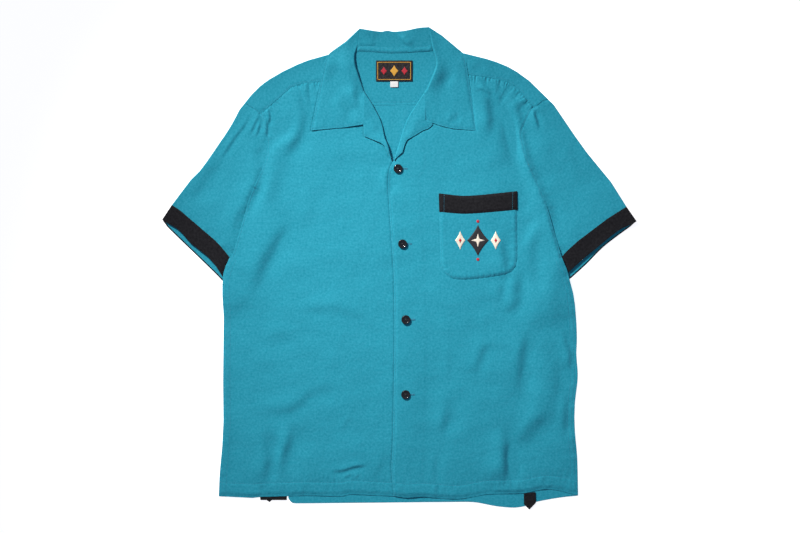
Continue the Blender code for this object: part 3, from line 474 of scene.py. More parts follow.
def creased(points, creases):
    """What the creases of a table add to the height."""
    total = np.zeros(len(points))
    for half_width, steepness, route in creases.values():
        route = np.array(route, float)
        lead = CREASE_LEAD * half_width
        ends = np.diff(route, axis=0)[[0, -1]]
        ends *= lead / np.linalg.norm(ends, axis=1, keepdims=True)
        run = smooth_run(np.vstack((route[0] - ends[0], route, route[-1] + ends[1])), 4.0)
        low, high = run.min(0) - CREASE_REACH * half_width, run.max(0) + CREASE_REACH * half_width
        near = np.flatnonzero(((points > low) & (points < high)).all(1))
        if len(near) == 0:
            continue
        distance, along, side = away(points[near], run, want_along=True)
        way = (run[-1] - run[0]) / np.linalg.norm(run[-1] - run[0])
        lean = FALL @ (way[1], -way[0])
        length = lengths_along(run)[-1]
        fade = lead + CREASE_FADE * (length - 2 * lead)
        strength = ramp(along, 0, fade) * ramp(length - along, 0, fade)
        across = distance * side * np.sign(lean) / half_width
        total[near] += (steepness / max(abs(lean), LEAST_LEAN) * half_width * strength
                        * np.tanh(across) * np.exp(-(across / CREASE_LEVEL) ** 2))
    return total * (1 + rippled(points, "creases"))


def rippled(points, kind="body"):
    """The cloth's own unevenness, a sum of waves that run in all directions."""
    total = np.zeros(len(points))
    for wavelength, height, seed in RIPPLES[kind]:
        draw = np.random.default_rng(seed)
        turns = draw.uniform(0, math.tau, RIPPLE_WAVES)
        pitch = math.tau / (wavelength * draw.uniform(0.7, 1.5, RIPPLE_WAVES))
        phase = draw.uniform(0, math.tau, RIPPLE_WAVES)
        for turn, number, start in zip(turns, pitch, phase):
            across = points @ np.array((math.cos(turn), math.sin(turn)))
            total += height * math.sqrt(2 / RIPPLE_WAVES) * np.sin(number * across + start)
    return total


def puckered(points, run, kind):
    """Short uneven waves across a line of stitches, where the thread draws the cloth in."""
    pitch, reach, height, seed = PUCKERS[kind]
    distance, along, _ = away(points, run, want_along=True)
    draw = np.random.default_rng(seed)
    total = np.zeros(len(points))
    for number, start in zip(draw.uniform(0.6, 1.7, PUCKER_WAVES),
                             draw.uniform(0, math.tau, PUCKER_WAVES)):
        total += np.sin(math.tau * number * along / pitch + start)
    return height * total / math.sqrt(PUCKER_WAVES) * np.exp(-(distance / reach) ** 2)


def gathered(points, seam, rows):
    """Gathers that hang from a seam and fade."""
    distance, along, _ = away(points, seam, want_along=True)
    total = np.zeros(len(points))
    for place, reach, half_width, depth in rows:
        spread = half_width * (1 + 0.6 * distance / reach)
        total += (depth * np.exp(-((along - place) / spread) ** 2)
                  * ramp(reach - distance, 0, reach) * ramp(distance, 0.3, 4))
    return total


def pleated(points, seam, rows):
    """Short fine pleats that the thread of a seam draws in, uneven in place, length and depth."""
    distance, along, _ = away(points, seam, want_along=True)
    total = np.zeros(len(points))
    for start, stop, pitch, seed in rows:
        draw = np.random.default_rng(seed)
        for place in np.arange(start, stop, pitch):
            place += draw.uniform(-0.3, 0.3) * pitch
            reach, half_width = draw.uniform(6, 17), draw.uniform(1.1, 1.6)
            depth, slant = draw.uniform(0.7, 1.5), draw.uniform(-0.3, 0.3)
            total -= (depth * np.exp(-((along - place - slant * distance) / half_width) ** 2)
                      * ramp(reach - distance, 0, 0.8 * reach) * ramp(distance, 0.3, 1.8))
    return total


def grooved(points, run, kind):
    half_width, depth = GROOVES[kind]
    return -depth * np.exp(-(away(points, run) / half_width) ** 2)


def lowered(points, run, depth, reach):
    """How far cloth falls towards an edge, from this reach of it."""
    return -depth * ramp(away(points, run), reach, 0)


def bank(points, run, reach, height, slope=1.2):
    """Cloth that is doubled beside an edge: raised up to the reach from it, then down again."""
    return height * ramp(away(points, run), reach + slope, reach - slope)


def triangles(plan, outline):
    """Triangles between points of the plan inside an outline, whose own points come first: the
    points, the triangles and the new number of each given point."""
    edges = [(index, (index + 1) % len(outline)) for index in range(len(outline))]
    made = delaunay_2d_cdt([Vector(point) for point in plan], edges, [], 0, 1e-5, True)
    number = np.zeros(len(plan), int)
    for index, sources in enumerate(made[3]):
        number[sources] = index
    plan = np.array([point[:] for point in made[0]])
    faces = np.array([face for face in made[2] if len(face) == 3])
    faces = faces[within(plan[faces].mean(1), outline)]
    corner = plan[faces]
    turned = np.cross(corner[:, 1] - corner[:, 0], corner[:, 2] - corner[:, 0]) < 0
    faces[turned] = faces[turned][:, ::-1]
    return plan, faces, number


def lattice(outline, step):
    """Points of an even lattice inside an outline, clear of its first row."""
    low, high = outline.min(0), outline.max(0)
    across, up = np.meshgrid(np.arange(low[0], high[0], step),
                             np.arange(low[1], high[1], step * math.sqrt(0.75)))
    across[1::2] += step / 2
    points = np.column_stack((across.ravel(), up.ravel()))
    points = points[within(points, outline)]
    return points[away(points, closed(outline)) > FIRST_ROW + 0.55 * step]


def open_edges(faces):
    """The edges that only one triangle has, each in that triangle's order."""
    starts, stops = faces[:, (0, 1, 2)].ravel().tolist(), faces[:, (1, 2, 0)].ravel().tolist()
    known = set(zip(stops, starts))
    return np.array([edge for edge in zip(starts, stops) if edge not in known])


class Cloth:
    """The outer face of a piece of cloth: sheets over the plan, joined where they turn over."""

    def __init__(self):
        self.points = np.zeros((0, 3))
        self.faces = []

    def added(self, points):
        first = len(self.points)
        self.points = np.vstack((self.points, points))
        return np.arange(first, len(self.points))

    def sheet(self, outline, base, extra, step=STEP, lines=(), faces_down=False,
              settle=SETTLE_ROUNDS, fine=(), level=None):
        """A sheet inside an outline. Its height is the base, which is the name of a form or a plain
        height, with the extra, which is a function of the points or a number. Fine is runs, how
        far from each the points are closer, and how close; the sheet stays above the level.
        Returns the numbers of the outline's points."""
        rows = [outline]
        row = moved_out(outline, -FIRST_ROW)
        rows.append(row[away(row, closed(outline)) > 0.8 * FIRST_ROW])
        for line in lines:
            line = smooth_run(line, step)
            for shift in (-LINE_ROW, 0, LINE_ROW):
                side = moved_run(line, shift)
                clear = away(side, closed(outline)) > FIRST_ROW + LINE_ROW
                rows.append(side[clear & within(side, outline)])
        for pitch in sorted({step, *(closeness for _, _, closeness in fine)}):
            points = lattice(outline, pitch)
            wanted = np.full(len(points), step)
            for run, reach, closeness in fine:
                near = away(points, np.asarray(run, float)) < reach
                wanted[near] = np.minimum(wanted[near], closeness)
            points = points[wanted == pitch]
            for line in lines:
                points = points[away(points, np.asarray(line, float)) > LINE_ROW + 0.55 * pitch]
            rows.append(points)
        plan, faces, number = triangles(np.vstack(rows), outline)
        if isinstance(base, str):
            z = settled(height_on(HEIGHTS[base], plan), faces, settle)
        else:
            z = np.full(len(plan), float(base))
        z = z + (extra(plan) if callable(extra) else extra)
        if level is not None:
            z = kept_above(z, level)
        ids = self.added(np.column_stack((plan, z)))
        self.faces.append(ids[faces[:, ::-1] if faces_down else faces])
        return ids[number[:len(outline)]]

    def turn(self, ids, bulge, low=None, low_ids=None):
        """Takes the cloth round a fold, from the points of a sheet's edge down to a height or to
        the points of a lower sheet."""
        top = self.points[ids]
        out = outward(top[:, :2])
        bottom = self.points[low_ids][:, 2] if low_ids is not None else low
        middle, half = (top[:, 2] + bottom) / 2, (top[:, 2] - bottom) / 2
        before = ids
        for step in range(1, TURN_FACES + 1):
            angle = math.pi * step / TURN_FACES
            if step == TURN_FACES and low_ids is not None:
                now = low_ids
            else:
                plan = top[:, :2] + out * (np.asarray(bulge) * math.sin(angle))[..., None]
                now = self.added(np.column_stack((plan, middle + half * math.cos(angle))))
            quads = np.column_stack((before[1:], before[:-1], now[:-1], now[1:]))
            self.faces.append(quads[:, (0, 1, 2)])
            self.faces.append(quads[:, (0, 2, 3)])
            before = now

    def thick(self, thickness):
        """Both faces of the cloth, with its cut edges rounded: points and triangles."""
        points, faces = self.points, np.vstack(self.faces)
        normals = point_normals(points, faces)
        inner = points - normals * thickness
        count = len(points)
        cut_edges = open_edges(faces)
        tangent = np.zeros_like(points)
        step = points[cut_edges[:, 1]] - points[cut_edges[:, 0]]
        step /= np.maximum(np.linalg.norm(step, axis=1, keepdims=True), 1e-9)
        np.add.at(tangent, cut_edges[:, 0], step)
        np.add.at(tangent, cut_edges[:, 1], step)
        rim = np.unique(cut_edges)
        out = np.cross(tangent[rim], normals[rim])
        out /= np.maximum(np.linalg.norm(out, axis=1, keepdims=True), 1e-9)
        radius = thickness / 2
        all_points, all_faces = [points, inner], [faces, faces[:, ::-1] + count]
        place = np.zeros(count, int)
        place[rim] = np.arange(len(rim))
        before = np.arange(count)
        total = 2 * count
        for number in range(1, RIM_FACES + 1):
            angle = math.pi * number / RIM_FACES
            if number == RIM_FACES:
                now = np.arange(count) + count
            else:
                all_points.append(points[rim] - normals[rim] * radius * (1 - math.cos(angle))
                                  + out * radius * math.sin(angle))
                now = place + total
                total += len(rim)
            start, stop = cut_edges.T
            all_faces.append(np.column_stack((before[stop], before[start], now[start])))
            all_faces.append(np.column_stack((before[stop], now[start], now[stop])))
            before = now
        return np.vstack(all_points), np.vstack(all_faces)


def point_normals(points, faces):
    corner = points[faces]
    face_normals = np.cross(corner[:, 1] - corner[:, 0], corner[:, 2] - corner[:, 0])
    normals = np.zeros_like(points)
    for column in range(3):
        np.add.at(normals, faces[:, column], face_normals)
    return normals / np.maximum(np.linalg.norm(normals, axis=1, keepdims=True), 1e-12)


def settled(heights, faces, rounds):
    """Heights smoothed over the mesh, each towards the middle of its neighbours'."""
    start = faces[:, (0, 1, 2)].ravel()
    stop = faces[:, (1, 2, 0)].ravel()
    start, stop = np.concatenate((start, stop)), np.concatenate((stop, start))
    neighbours = np.maximum(np.bincount(start, minlength=len(heights)), 1)
    for _ in range(rounds):
        middle = np.bincount(start, heights[stop], minlength=len(heights)) / neighbours
        heights = (heights + middle) / 2
    return heights


# Materials.

def node_input(tree, node, socket, value):
    """Sets a socket, or links it where the value is another node's output."""
    if isinstance(value, bpy.types.NodeSocket):
        tree.links.new(value, node.inputs[socket])
    else:
        node.inputs[socket].default_value = value


def new_node(tree, kind, sockets=(), **settings):
    """A node with its settings, and its sockets set or linked."""
    node = tree.nodes.new(kind)
    for label, value in settings.items():
        setattr(node, label, value)
    for socket, value in dict(sockets).items():
        node_input(tree, node, socket, value)
    return node


def maths(tree, operation, *values):
    return new_node(tree, "ShaderNodeMath", enumerate(values), operation=operation).outputs[0]


def noise(tree, vector, size, detail=2.0, roughness=0.5):
    """Noise of a size in metres, between 0 and 1, or of a socket's number per metre."""
    scale = size if isinstance(size, bpy.types.NodeSocket) else 1 / size
    return new_node(tree, "ShaderNodeTexNoise", {"Vector": vector, "Scale": scale, "Detail": detail,
                                                 "Roughness": roughness}).outputs["Fac"]


def stretched(tree, vector, x, y):
    return new_node(tree, "ShaderNodeVectorMath", {0: vector, 1: (x, y, 1)},
                    operation="MULTIPLY").outputs[0]


def shader_group(name, inputs, outputs):
    """An empty node group with named sockets: the group, its inputs' node and its outputs' one."""
    group = bpy.data.node_groups.new(name, "ShaderNodeTree")
    for label, value in inputs.items():
        socket = group.interface.new_socket(label, in_out="INPUT", socket_type="NodeSocketFloat")
        socket.default_value = value
    for label in outputs:
        group.interface.new_socket(label, in_out="OUTPUT", socket_type="NodeSocketFloat")
    return group, group.nodes.new("NodeGroupInput"), group.nodes.new("NodeGroupOutput")


def crepe_group():
    """Plain weave of hard-twisted yarn: threads over and under, a pebbled grain and slubs. Its tone is
    partly painted shade, darker between the threads and lighter on their crowns, and partly tone at
    random from the grain, slubs and flecks.
    """
    group, given, result = shader_group(
        "crepe weave", {"Threads per metre": 2200.0, "Grain per metre": 620.0, "Grain depth": 1.0,
                        "Slub depth": 1.0, "Fleck depth": 1.6}, ("Height", "Tone and shade"))
    times, plus, less = (partial(maths, group, name) for name in ("MULTIPLY", "ADD", "SUBTRACT"))
    uv = group.nodes.new("ShaderNodeUVMap").outputs["UV"]
    split = new_node(group, "ShaderNodeSeparateXYZ", {0: uv})
    pitch = times(given.outputs["Threads per metre"], math.pi)
    warp, weft = (maths(group, "SINE", times(split.outputs[way], pitch)) for way in "XY")
    over = maths(group, "GREATER_THAN", times(warp, weft), 0.0)
    threads = plus(times(maths(group, "ABSOLUTE", warp), over),
                   times(maths(group, "ABSOLUTE", weft), less(1.0, over)))
    grain = noise(group, uv, given.outputs["Grain per metre"], 3.0, 0.62)
    broad = noise(group, uv, 0.0075)
    slubs = plus(noise(group, stretched(group, uv, 1.0, 0.045), 0.0011, 1.0),
                 noise(group, stretched(group, uv, 0.045, 1.0), 0.0011, 1.0))
    slub = times(less(slubs, 1.0), given.outputs["Slub depth"])
    pebbles = times(less(grain, 0.5), given.outputs["Grain depth"])
    fleck = less(noise(group, uv, 0.0034, 3.0, 0.62), 0.5)
    node_input(group, result, "Height", reduce(plus, (
        times(threads, 0.16), pebbles, times(slub, 0.35), times(broad, 0.9))))
    # The tone: painted shade that is darker between the threads and lighter on their crowns, with the
    # pebbles, slubs and flecks as tone at random.
    node_input(group, result, "Tone and shade", reduce(plus, (
        times(pebbles, 0.55), times(slub, 0.2), times(less(threads, 0.6), 0.12),
        times(fleck, given.outputs["Fleck depth"]))))
    return group


def satin_group():
    """Threads that lie side by side, as in satin stitch and woven labels. Their tone is partly painted
    shade, lighter on each thread's crown and darker between threads, and partly fraying as tone at
    random.
    """
    group, given, result = shader_group("laid threads", {"Threads per metre": 2600.0},
                                        ("Height", "Tone and shade"))
    times, plus, less = (partial(maths, group, name) for name in ("MULTIPLY", "ADD", "SUBTRACT"))
    uv = group.nodes.new("ShaderNodeUVMap").outputs["UV"]
    split = new_node(group, "ShaderNodeSeparateXYZ", {0: uv})
    turn = times(split.outputs["X"], times(given.outputs["Threads per metre"], math.pi))
    crown = maths(group, "ABSOLUTE", maths(group, "SINE", turn))
    fray = noise(group, stretched(group, uv, 1.0, 0.12), 0.0007)
    node_input(group, result, "Height", plus(crown, times(fray, 0.6)))
    # Painted shade: lighter on the threads' crowns and darker between them; the fray is tone at random.
    node_input(group, result, "Tone and shade", less(plus(times(crown, 0.3), fray), 0.7))
    return group


def shaded(tree, colour, tone, depth, frost=0.0):
    """A colour made lighter and darker by a tone that swings round nothing; for cloth and thread that
    tone is partly painted shade between the threads. Frost is how much white the lightest places take
    on, as from the ends of fibres."""
    scaled = new_node(tree, "ShaderNodeVectorMath",
                      {0: colour, "Scale": maths(tree, "MULTIPLY_ADD", tone, depth, 1.0)},
                      operation="SCALE")
    return new_node(tree, "ShaderNodeVectorMath",
                    {0: scaled.outputs[0], 1: maths(tree, "MULTIPLY", tone, frost)},
                    operation="ADD").outputs[0]


def new_material(name, colour, roughness, **constants):
    """A material whose constants sit on the shader's own sockets: the tree and the shader."""
    material = bpy.data.materials.new(name)
    material.use_nodes = True
    tree = material.node_tree
    shader = tree.nodes["Principled BSDF"]
    shader.inputs["Base Color"].default_value = (*colour, 1)
    shader.inputs["Roughness"].default_value = roughness
    for label, value in constants.items():
        shader.inputs[label.replace("_", " ")].default_value = value
    material.diffuse_color = (*colour, 1)
    return tree, shader


def bumped(tree, shader, height, depth):
    bump = new_node(tree, "ShaderNodeBump", {"Distance": depth, "Strength": 1.0, "Height": height})
    tree.links.new(bump.outputs["Normal"], shader.inputs["Normal"])


def cloth_material(name, colour, tone_depth, bump_depth, roughness, **weave):
    tree, shader = new_material(name, colour, roughness, Sheen_Weight=0.12, Sheen_Roughness=0.45,
                                Specular_IOR_Level=0.25)
    node = new_node(tree, "ShaderNodeGroup", node_tree=CREPE)
    for label, value in weave.items():
        node.inputs[label.replace("_", " ")].default_value = value
    node_input(tree, shader, "Base Color",
               shaded(tree, colour, node.outputs["Tone and shade"], tone_depth, 0.09 * tone_depth))
    bumped(tree, shader, node.outputs["Height"], bump_depth)


def thread_material(name, colour):
    tree, shader = new_material(name, colour, 0.55, Sheen_Weight=0.2, Specular_IOR_Level=0.4)
    node = new_node(tree, "ShaderNodeGroup", node_tree=SATIN)
    node_input(tree, shader, "Base Color", shaded(tree, colour, node.outputs["Tone and shade"], 0.35))
    bumped(tree, shader, node.outputs["Height"], 0.00006)


def button_material():
    """Polished black resin with faint scratches and a slightly duller middle."""
    tree, shader = new_material("button resin", (0.010, 0.0095, 0.0095), 0.16, Coat_Weight=0.35,
                                Coat_Roughness=0.06, Specular_IOR_Level=0.55)
    place = tree.nodes.new("ShaderNodeTexCoord").outputs["Object"]
    cloud = noise(tree, place, 0.0035, 3.0)
    scratch = noise(tree, stretched(tree, place, 0.08, 1.0), 0.0002)
    node_input(tree, shader, "Roughness", maths(tree, "MULTIPLY_ADD", cloud, 0.16, 0.08))
    bumped(tree, shader, scratch, 0.000006)


TEAL = (0.0165, 0.307, 0.397)
BLACK = (0.0060, 0.0056, 0.0068)
THREADS = {"teal": (0.022, 0.27, 0.38), "black": (0.014, 0.014, 0.016), "cream": (0.90, 0.80, 0.62),
           "red": (0.50, 0.010, 0.025), "gold": (0.72, 0.36, 0.035)}


def make_materials():
    cloth_material("teal crepe", TEAL, 0.34, 0.00020, 0.78)
    cloth_material("black crepe", BLACK, 0.2, 0.00010, 0.82)
    cloth_material("label ground", (0.021, 0.017, 0.016), 0.5, 0.00008, 0.5, Threads_per_metre=3200.0)
    cloth_material("white tape", (0.80, 0.77, 0.72), 0.15, 0.00008, 0.7, Threads_per_metre=2600.0)
    for name, colour in THREADS.items():
        thread_material(name + " thread", colour)
    button_material()


# Finished pieces.

def linked(name, data):
    made = bpy.data.objects.new(name, data)
    bpy.context.scene.collection.objects.link(made)
    return made


def frozen(maker):
    """The smooth-shaded mesh that an object makes; the object itself goes."""
    bpy.context.view_layer.update()
    mesh = bpy.data.meshes.new_from_object(maker.evaluated_get(bpy.context.evaluated_depsgraph_get()))
    bpy.data.objects.remove(maker)
    for polygon in mesh.polygons:
        polygon.use_smooth = True
    return mesh


def placed(piece):
    """The piece rides on the shirt's one body."""
    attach(piece, "root")


def made_piece(name, points, faces, material, grain=0.0):
    """A mesh object from points in millimetres. Its UV map is the plan, in metres, turned so that
    the warp runs along V; the grain is the warp's way from +Y, in degrees."""
    data = bpy.data.meshes.new(name)
    data.vertices.add(len(points))
    data.vertices.foreach_set("co", (points * MM).astype(np.float32).ravel())
    data.loops.add(3 * len(faces))
    data.loops.foreach_set("vertex_index", faces.astype(np.int32).ravel())
    data.polygons.add(len(faces))
    data.polygons.foreach_set("loop_start", np.arange(0, 3 * len(faces), 3, dtype=np.int32))
    data.polygons.foreach_set("use_smooth", np.ones(len(faces), bool))
    turn = math.radians(grain)
    along = np.array(((math.cos(turn), math.sin(turn)), (-math.sin(turn), math.cos(turn))))
    plan = points[:, :2] @ along.T * MM
    layer = data.uv_layers.new(name="UVMap")
    layer.data.foreach_set("uv", plan[faces.ravel()].astype(np.float32).ravel())
    data.update(calc_edges=True)
    data.validate()
    data.materials.append(bpy.data.materials[material])
    return linked(name, data)


SURFACES = {}  # finished pieces as trees, for what is sewn on them


def finish_cloth(name, cloth, thickness, material, grain, slot, flat, area, rests_on):
    """Gives the cloth its thickness and makes its piece in place of the node of that name; the slot, the
    flat size, the area and what it rests on are not used.
    """
    points, faces = cloth.thick(thickness)
    piece = made_piece(name + "_cloth", points, faces, material, grain)
    SURFACES[name] = BVHTree.FromPolygons(points.tolist(), faces.tolist())
    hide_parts(name)
    placed(piece)


def rounded(outline, top):
    """An outline with its corners below a height of the plan rounded."""
    low = ramp(outline[:, 1:], top, top - 8)
    for _ in range(ROUNDING):
        middle = (np.roll(outline, 1, axis=0) + np.roll(outline, -1, axis=0)) / 2
        outline = outline + low * (middle - outline) * 0.8
    return outline


STITCH_ROWS = []  # the thread and the points of each line of stitches


def stitch(node, run, material="teal thread"):
    """Notes a line of stitches that lies on a finished piece."""
    run = smooth_run(run, STITCH_STEP)
    heights = height_on(SURFACES[node], run) + STITCH_LIFT
    STITCH_ROWS.append((material, np.column_stack((run, heights))))


# Sizes that several pieces share, in millimetres.
TOPSTITCH = 2.0  # from an edge to the line of stitches beside it
HEM = 21.0  # depth of the hem
TUCK = 1.6  # how far cloth reaches in below the piece that is sewn over it
SEAM_STEP = 0.95  # how far cloth drops at such a seam
SEAM_FALL = 4.0  # over this distance
ARM_STEP = {"right": 0.5, "left": 0.1}  # the same drop at the armholes
NECK_HALF = 40.0  # half the width over which the neck shows the yoke's lower seam
ROUNDING = 14  # rounds of smoothing at the pocket's corners
STITCH_STEP = 1.5  # spacing of the points of a line of stitches
STITCH_LIFT = 0.05  # how far its thread lies over the cloth
STITCH_SIZES = {"Pitch": 0.0029, "Length": 0.0024, "Thickness": 0.00042}  # in metres

FORMS = {
    "back": form("back", 0, 0),
    "yoke_right": form("yoke", -150, 305),
    "yoke_left": form("yoke", 140, 310),
    "yoke_lower": form("yoke", 0, 300, below=True),
    "front_right": form("front_right", -150, 0),
    "front_left": form("front_left", 220, 100),
    "facing_right": form("facing_right", -45, 225),
    "facing_left": form("facing_left", 25, 225),
    "leaf_right": form("collar", -90, 260),
    "leaf_left": form("collar", 80, 260),
    "stand": form("collar", -5, 355),
    "under_leaf": form("collar", 0, 310, below=True),
    "neck_tape": form("neck_tape", -5, 338),
    "sleeve_right": form("sleeve_right", -280, 120),
    "sleeve_left": form("sleeve_left", 280, 120),
    "sleeve_right_under": form("sleeve_right", -280, 120, below=True),
    "sleeve_left_under": form("sleeve_left", 280, 120, below=True),
    "cuff_right": form("cuff_right", -320, 55),
    "cuff_left": form("cuff_left", 318, 55),
    "cuff_right_under": form("cuff_right", -320, 50, below=True),
    "cuff_left_under": form("cuff_left", 318, 50, below=True),
    "pocket": form("pocket", 120, 40),
    "pocket_band": form("pocket_band", 120, 100),
    "tab_right": form("tab_right", -195, -355),
    "tab_left": form("tab_left", 202, -360),
    "label_main": form("label_main", -8, 305),
    "label_size": form("label_size", -8, 285),
}
OUTLINE = {name: smooth_outline(outline) for name, (outline, _) in FORMS.items()}
OUTLINE["pocket"] = rounded(smooth_outline(FORMS["pocket"][0], corner=math.radians(60)), 60.0)
HEIGHTS = {name: heights for name, (_, heights) in FORMS.items()}


def sunk(points, upper, step=SEAM_STEP):
    """How far cloth drops where it goes in below the piece with this outline."""
    distance = np.where(within(points, upper), 0, away(points, closed(upper)))
    return -step * ramp(distance, SEAM_FALL, 0)


def kept_above(heights, level):
    """Heights that level out softly above a level instead of passing below it."""
    over = heights - level
    return level + (over + np.sqrt(over ** 2 + LEVELLING)) / 2


def covered(points, upper):
    """1 where points lie well below the piece with this outline, and 0 outside it."""
    distance = np.where(within(points, upper), away(points, closed(upper)), 0)
    return ramp(distance, 1.5, 9.0)


def tucked(points, upper, depth, start=1.0):
    """How far cloth drops, steeply, where the piece with this outline lies on it. The drop starts
    this far outside the outline."""
    distance = away(points, closed(upper))
    inside = np.where(within(points, upper), distance, -distance)
    return -depth * ramp(inside, -start, 0.3)


def make_back():
    outline = OUTLINE["back"]
    hem_stitch = moved_run(cut(outline, "side_foot_right", "side_foot_left"), -HEM)

    def extra(points):
        return (creased(points, BACK_CREASES) + rippled(points, "back")
                + grooved(points, hem_stitch, "back_hem") - 0.02)

    cloth = Cloth()
    cloth.sheet(outline, "back", extra, step=BACK_STEP, level=0.85)
    finish_cloth("back", cloth, BACK_WALL, "teal crepe", 0, "teal_cloth", (0.56, 0.64), 0.312,
                 ["table"])


def make_yoke():
    """The back yoke, with its two ends turned over the shoulders."""
    under = OUTLINE["yoke_lower"]
    bulge = 1.05
    cloth = Cloth()
    folds, tops, stitched = {}, {}, []
    for side in SIDES:
        outline = OUTLINE["yoke_" + side]
        folds[side] = fold = moved_run(side_cut(outline, side, "shoulder_in", "shoulder_out"), -bulge)
        rest = side_cut(outline, side, "shoulder_out", "shoulder_in")
        seam = side_cut(outline, side, "yoke_end", "yoke_neck")
        line = moved_run(seam, -TOPSTITCH)
        stitched.append(line)

        def extra(points, seam=seam, line=line, leaf=OUTLINE["leaf_" + side]):
            hidden = covered(points, leaf)
            inner = ramp(away(points, seam), 0.0, 5.0)
            return ((creased(points, CREASES) * 0.6 + rippled(points)) * (1 - hidden) * inner
                    - 0.7 * hidden + lowered(points, seam, 0.15, 4.5) + grooved(points, line, "seam")
                    + puckered(points, seam, "yoke") * (0.3 + 0.7 * inner))

        ids = cloth.sheet(np.vstack((fold, rest[1:-1])), "yoke_" + side, extra, lines=[line])
        tops[side] = ids[:len(fold)]
    # Anticlockwise round the lower sheet: left fold, back of the neck, right fold, armholes.
    seam = cut(under, "shoulder_out_right", "shoulder_out_left")
    around = [folds["left"], cut(under, "shoulder_in_left", "shoulder_in_right")[1:-1],
              folds["right"], seam[1:-1]]
    inner_line = seam[np.abs(seam[:, 0]) < 215] + (0, 4.5)

    def lower_extra(points):
        return (0.03 + grooved(points, inner_line, "yoke_lower")
                + puckered(points, inner_line, "yoke_lower") + rippled(points, "yoke_lower"))

    ids = cloth.sheet(np.vstack(around), "yoke_lower", lower_extra, step=3.2, lines=[inner_line],
                      faces_down=True, level=-0.15)
    second = len(around[0]) + len(around[1])
    cloth.turn(tops["left"], bulge, low_ids=ids[:len(folds["left"])])
    cloth.turn(tops["right"], bulge, low_ids=ids[second:second + len(folds["right"])])
    finish_cloth("yoke", cloth, SINGLE, "teal crepe", 90, "teal_cloth", (0.50, 0.17), 0.0425,
                 ["back", "collar"])
    for line in (*stitched, inner_line[np.abs(inner_line[:, 0]) < NECK_HALF]):
        stitch("yoke", line)


def make_front(side):
    """A front, gathered below the yoke. The left one has the edge that laps over the right one."""
    name = "front_" + side
    is_left = side == "left"
    outline = OUTLINE[name]
    yoke, leaf, facing = (OUTLINE[other + side] for other in ("yoke_", "leaf_", "facing_"))
    seam = side_cut(outline, side, "yoke_neck", "yoke_end")
    from_armhole = seam[::SIDES[side]]
    arm = side_cut(outline, side, "yoke_end", "underarm")
    hem = side_cut(outline, side, "side_foot", "edge_foot")
    flank = side_cut(outline, side, "underarm", "side_foot")
    hem_line, arm_line = moved_run(hem, -HEM), moved_run(arm, -TOPSTITCH)
    flank_lines = [moved_run(flank, -reach) for reach in (4.5, 10.5)]
    edge = cut(OUTLINE["front_left"], "roll_foot_left", "edge_foot_left")
    leaf_edge = side_cut(leaf, side, "leaf_shoulder", "leaf_point")
    if is_left:
        upper, upper_depth = OUTLINE["pocket"], 0.3
        lines = [hem_line, arm_line, moved_run(edge, -6.0), leaf_edge, moved_run(closed(upper), 0.4)]
    else:
        upper, upper_depth = OUTLINE["front_left"], 1.2
        lines = [hem_line, arm_line, leaf_edge, moved_run(edge, 0.4)]

    def extra(points):
        hidden = covered(points, leaf)
        lapel = np.where(within(points, facing), ramp(away(points, closed(facing)), 0.5, 3.0), 0)
        free = ramp(np.where(within(points, yoke), 0, away(points, closed(yoke))), 0.3, 4.5)
        total = (((creased(points, CREASES) + rippled(points)) * free
                  + gathered(points, from_armhole, GATHERS[side])
                  + pleated(points, from_armhole, PLEATS[side])) * (1 - hidden)
                 - 0.4 * lapel + tucked(points, facing, 1.2) + tucked(points, leaf, 0.9)
                 + tucked(points, upper, upper_depth) + sunk(points, yoke)
                 + bank(points, arm, 6.0, 0.22) + grooved(points, arm_line, "seam")
                 + puckered(points, arm, "arm")
                 + bank(points, hem, HEM, 0.28) + grooved(points, hem_line, "hem")
                 + puckered(points, hem_line, "hem_stitch") + puckered(points, hem, "hem")
                 + lowered(points, hem, 1.7, 7.0) + lowered(points, flank, 0.8, 5.0)
                 + puckered(points, flank, "flank"))
        for line in flank_lines:
            total += grooved(points, line, "flank")
        if is_left:
            total += (lowered(points, arm, 0.4 + 1.4 * ramp(points[:, 1], 110, 50), 5.0)
                      + bank(points, edge, 48.0, 0.22) + lowered(points, edge, 1.0, 6.0)
                      + puckered(points, edge, "front_edge"))
        return total

    along_yoke = away(outline, closed(yoke)) < 1.0
    fine = [(seam, 12.0, 0.9), (seam, 28.0, 1.3), (arm[-30:] if is_left else arm[:30], 14.0, 1.3),
            (FINE_HEM[side], 14.0, 1.3)]
    cloth = Cloth()
    cloth.sheet(moved_out(outline, along_yoke * TUCK), name, extra, lines=lines, fine=fine,
                level=1.6)
    finish_cloth(name, cloth, HEMMED, "teal crepe", 0, "teal_cloth", (0.30, 0.67),
                 0.168 if is_left else 0.172,
                 ["back", "cuff_" + side] + (["front_right"] if is_left else []))
    hem_stitches = smooth_run(hem_line)
    for line in (hem_stitches[within(hem_stitches, outline)], arm_line, *flank_lines):
        stitch(name, line)
    if is_left:
        stitch(name, moved_run(edge, -1.8))


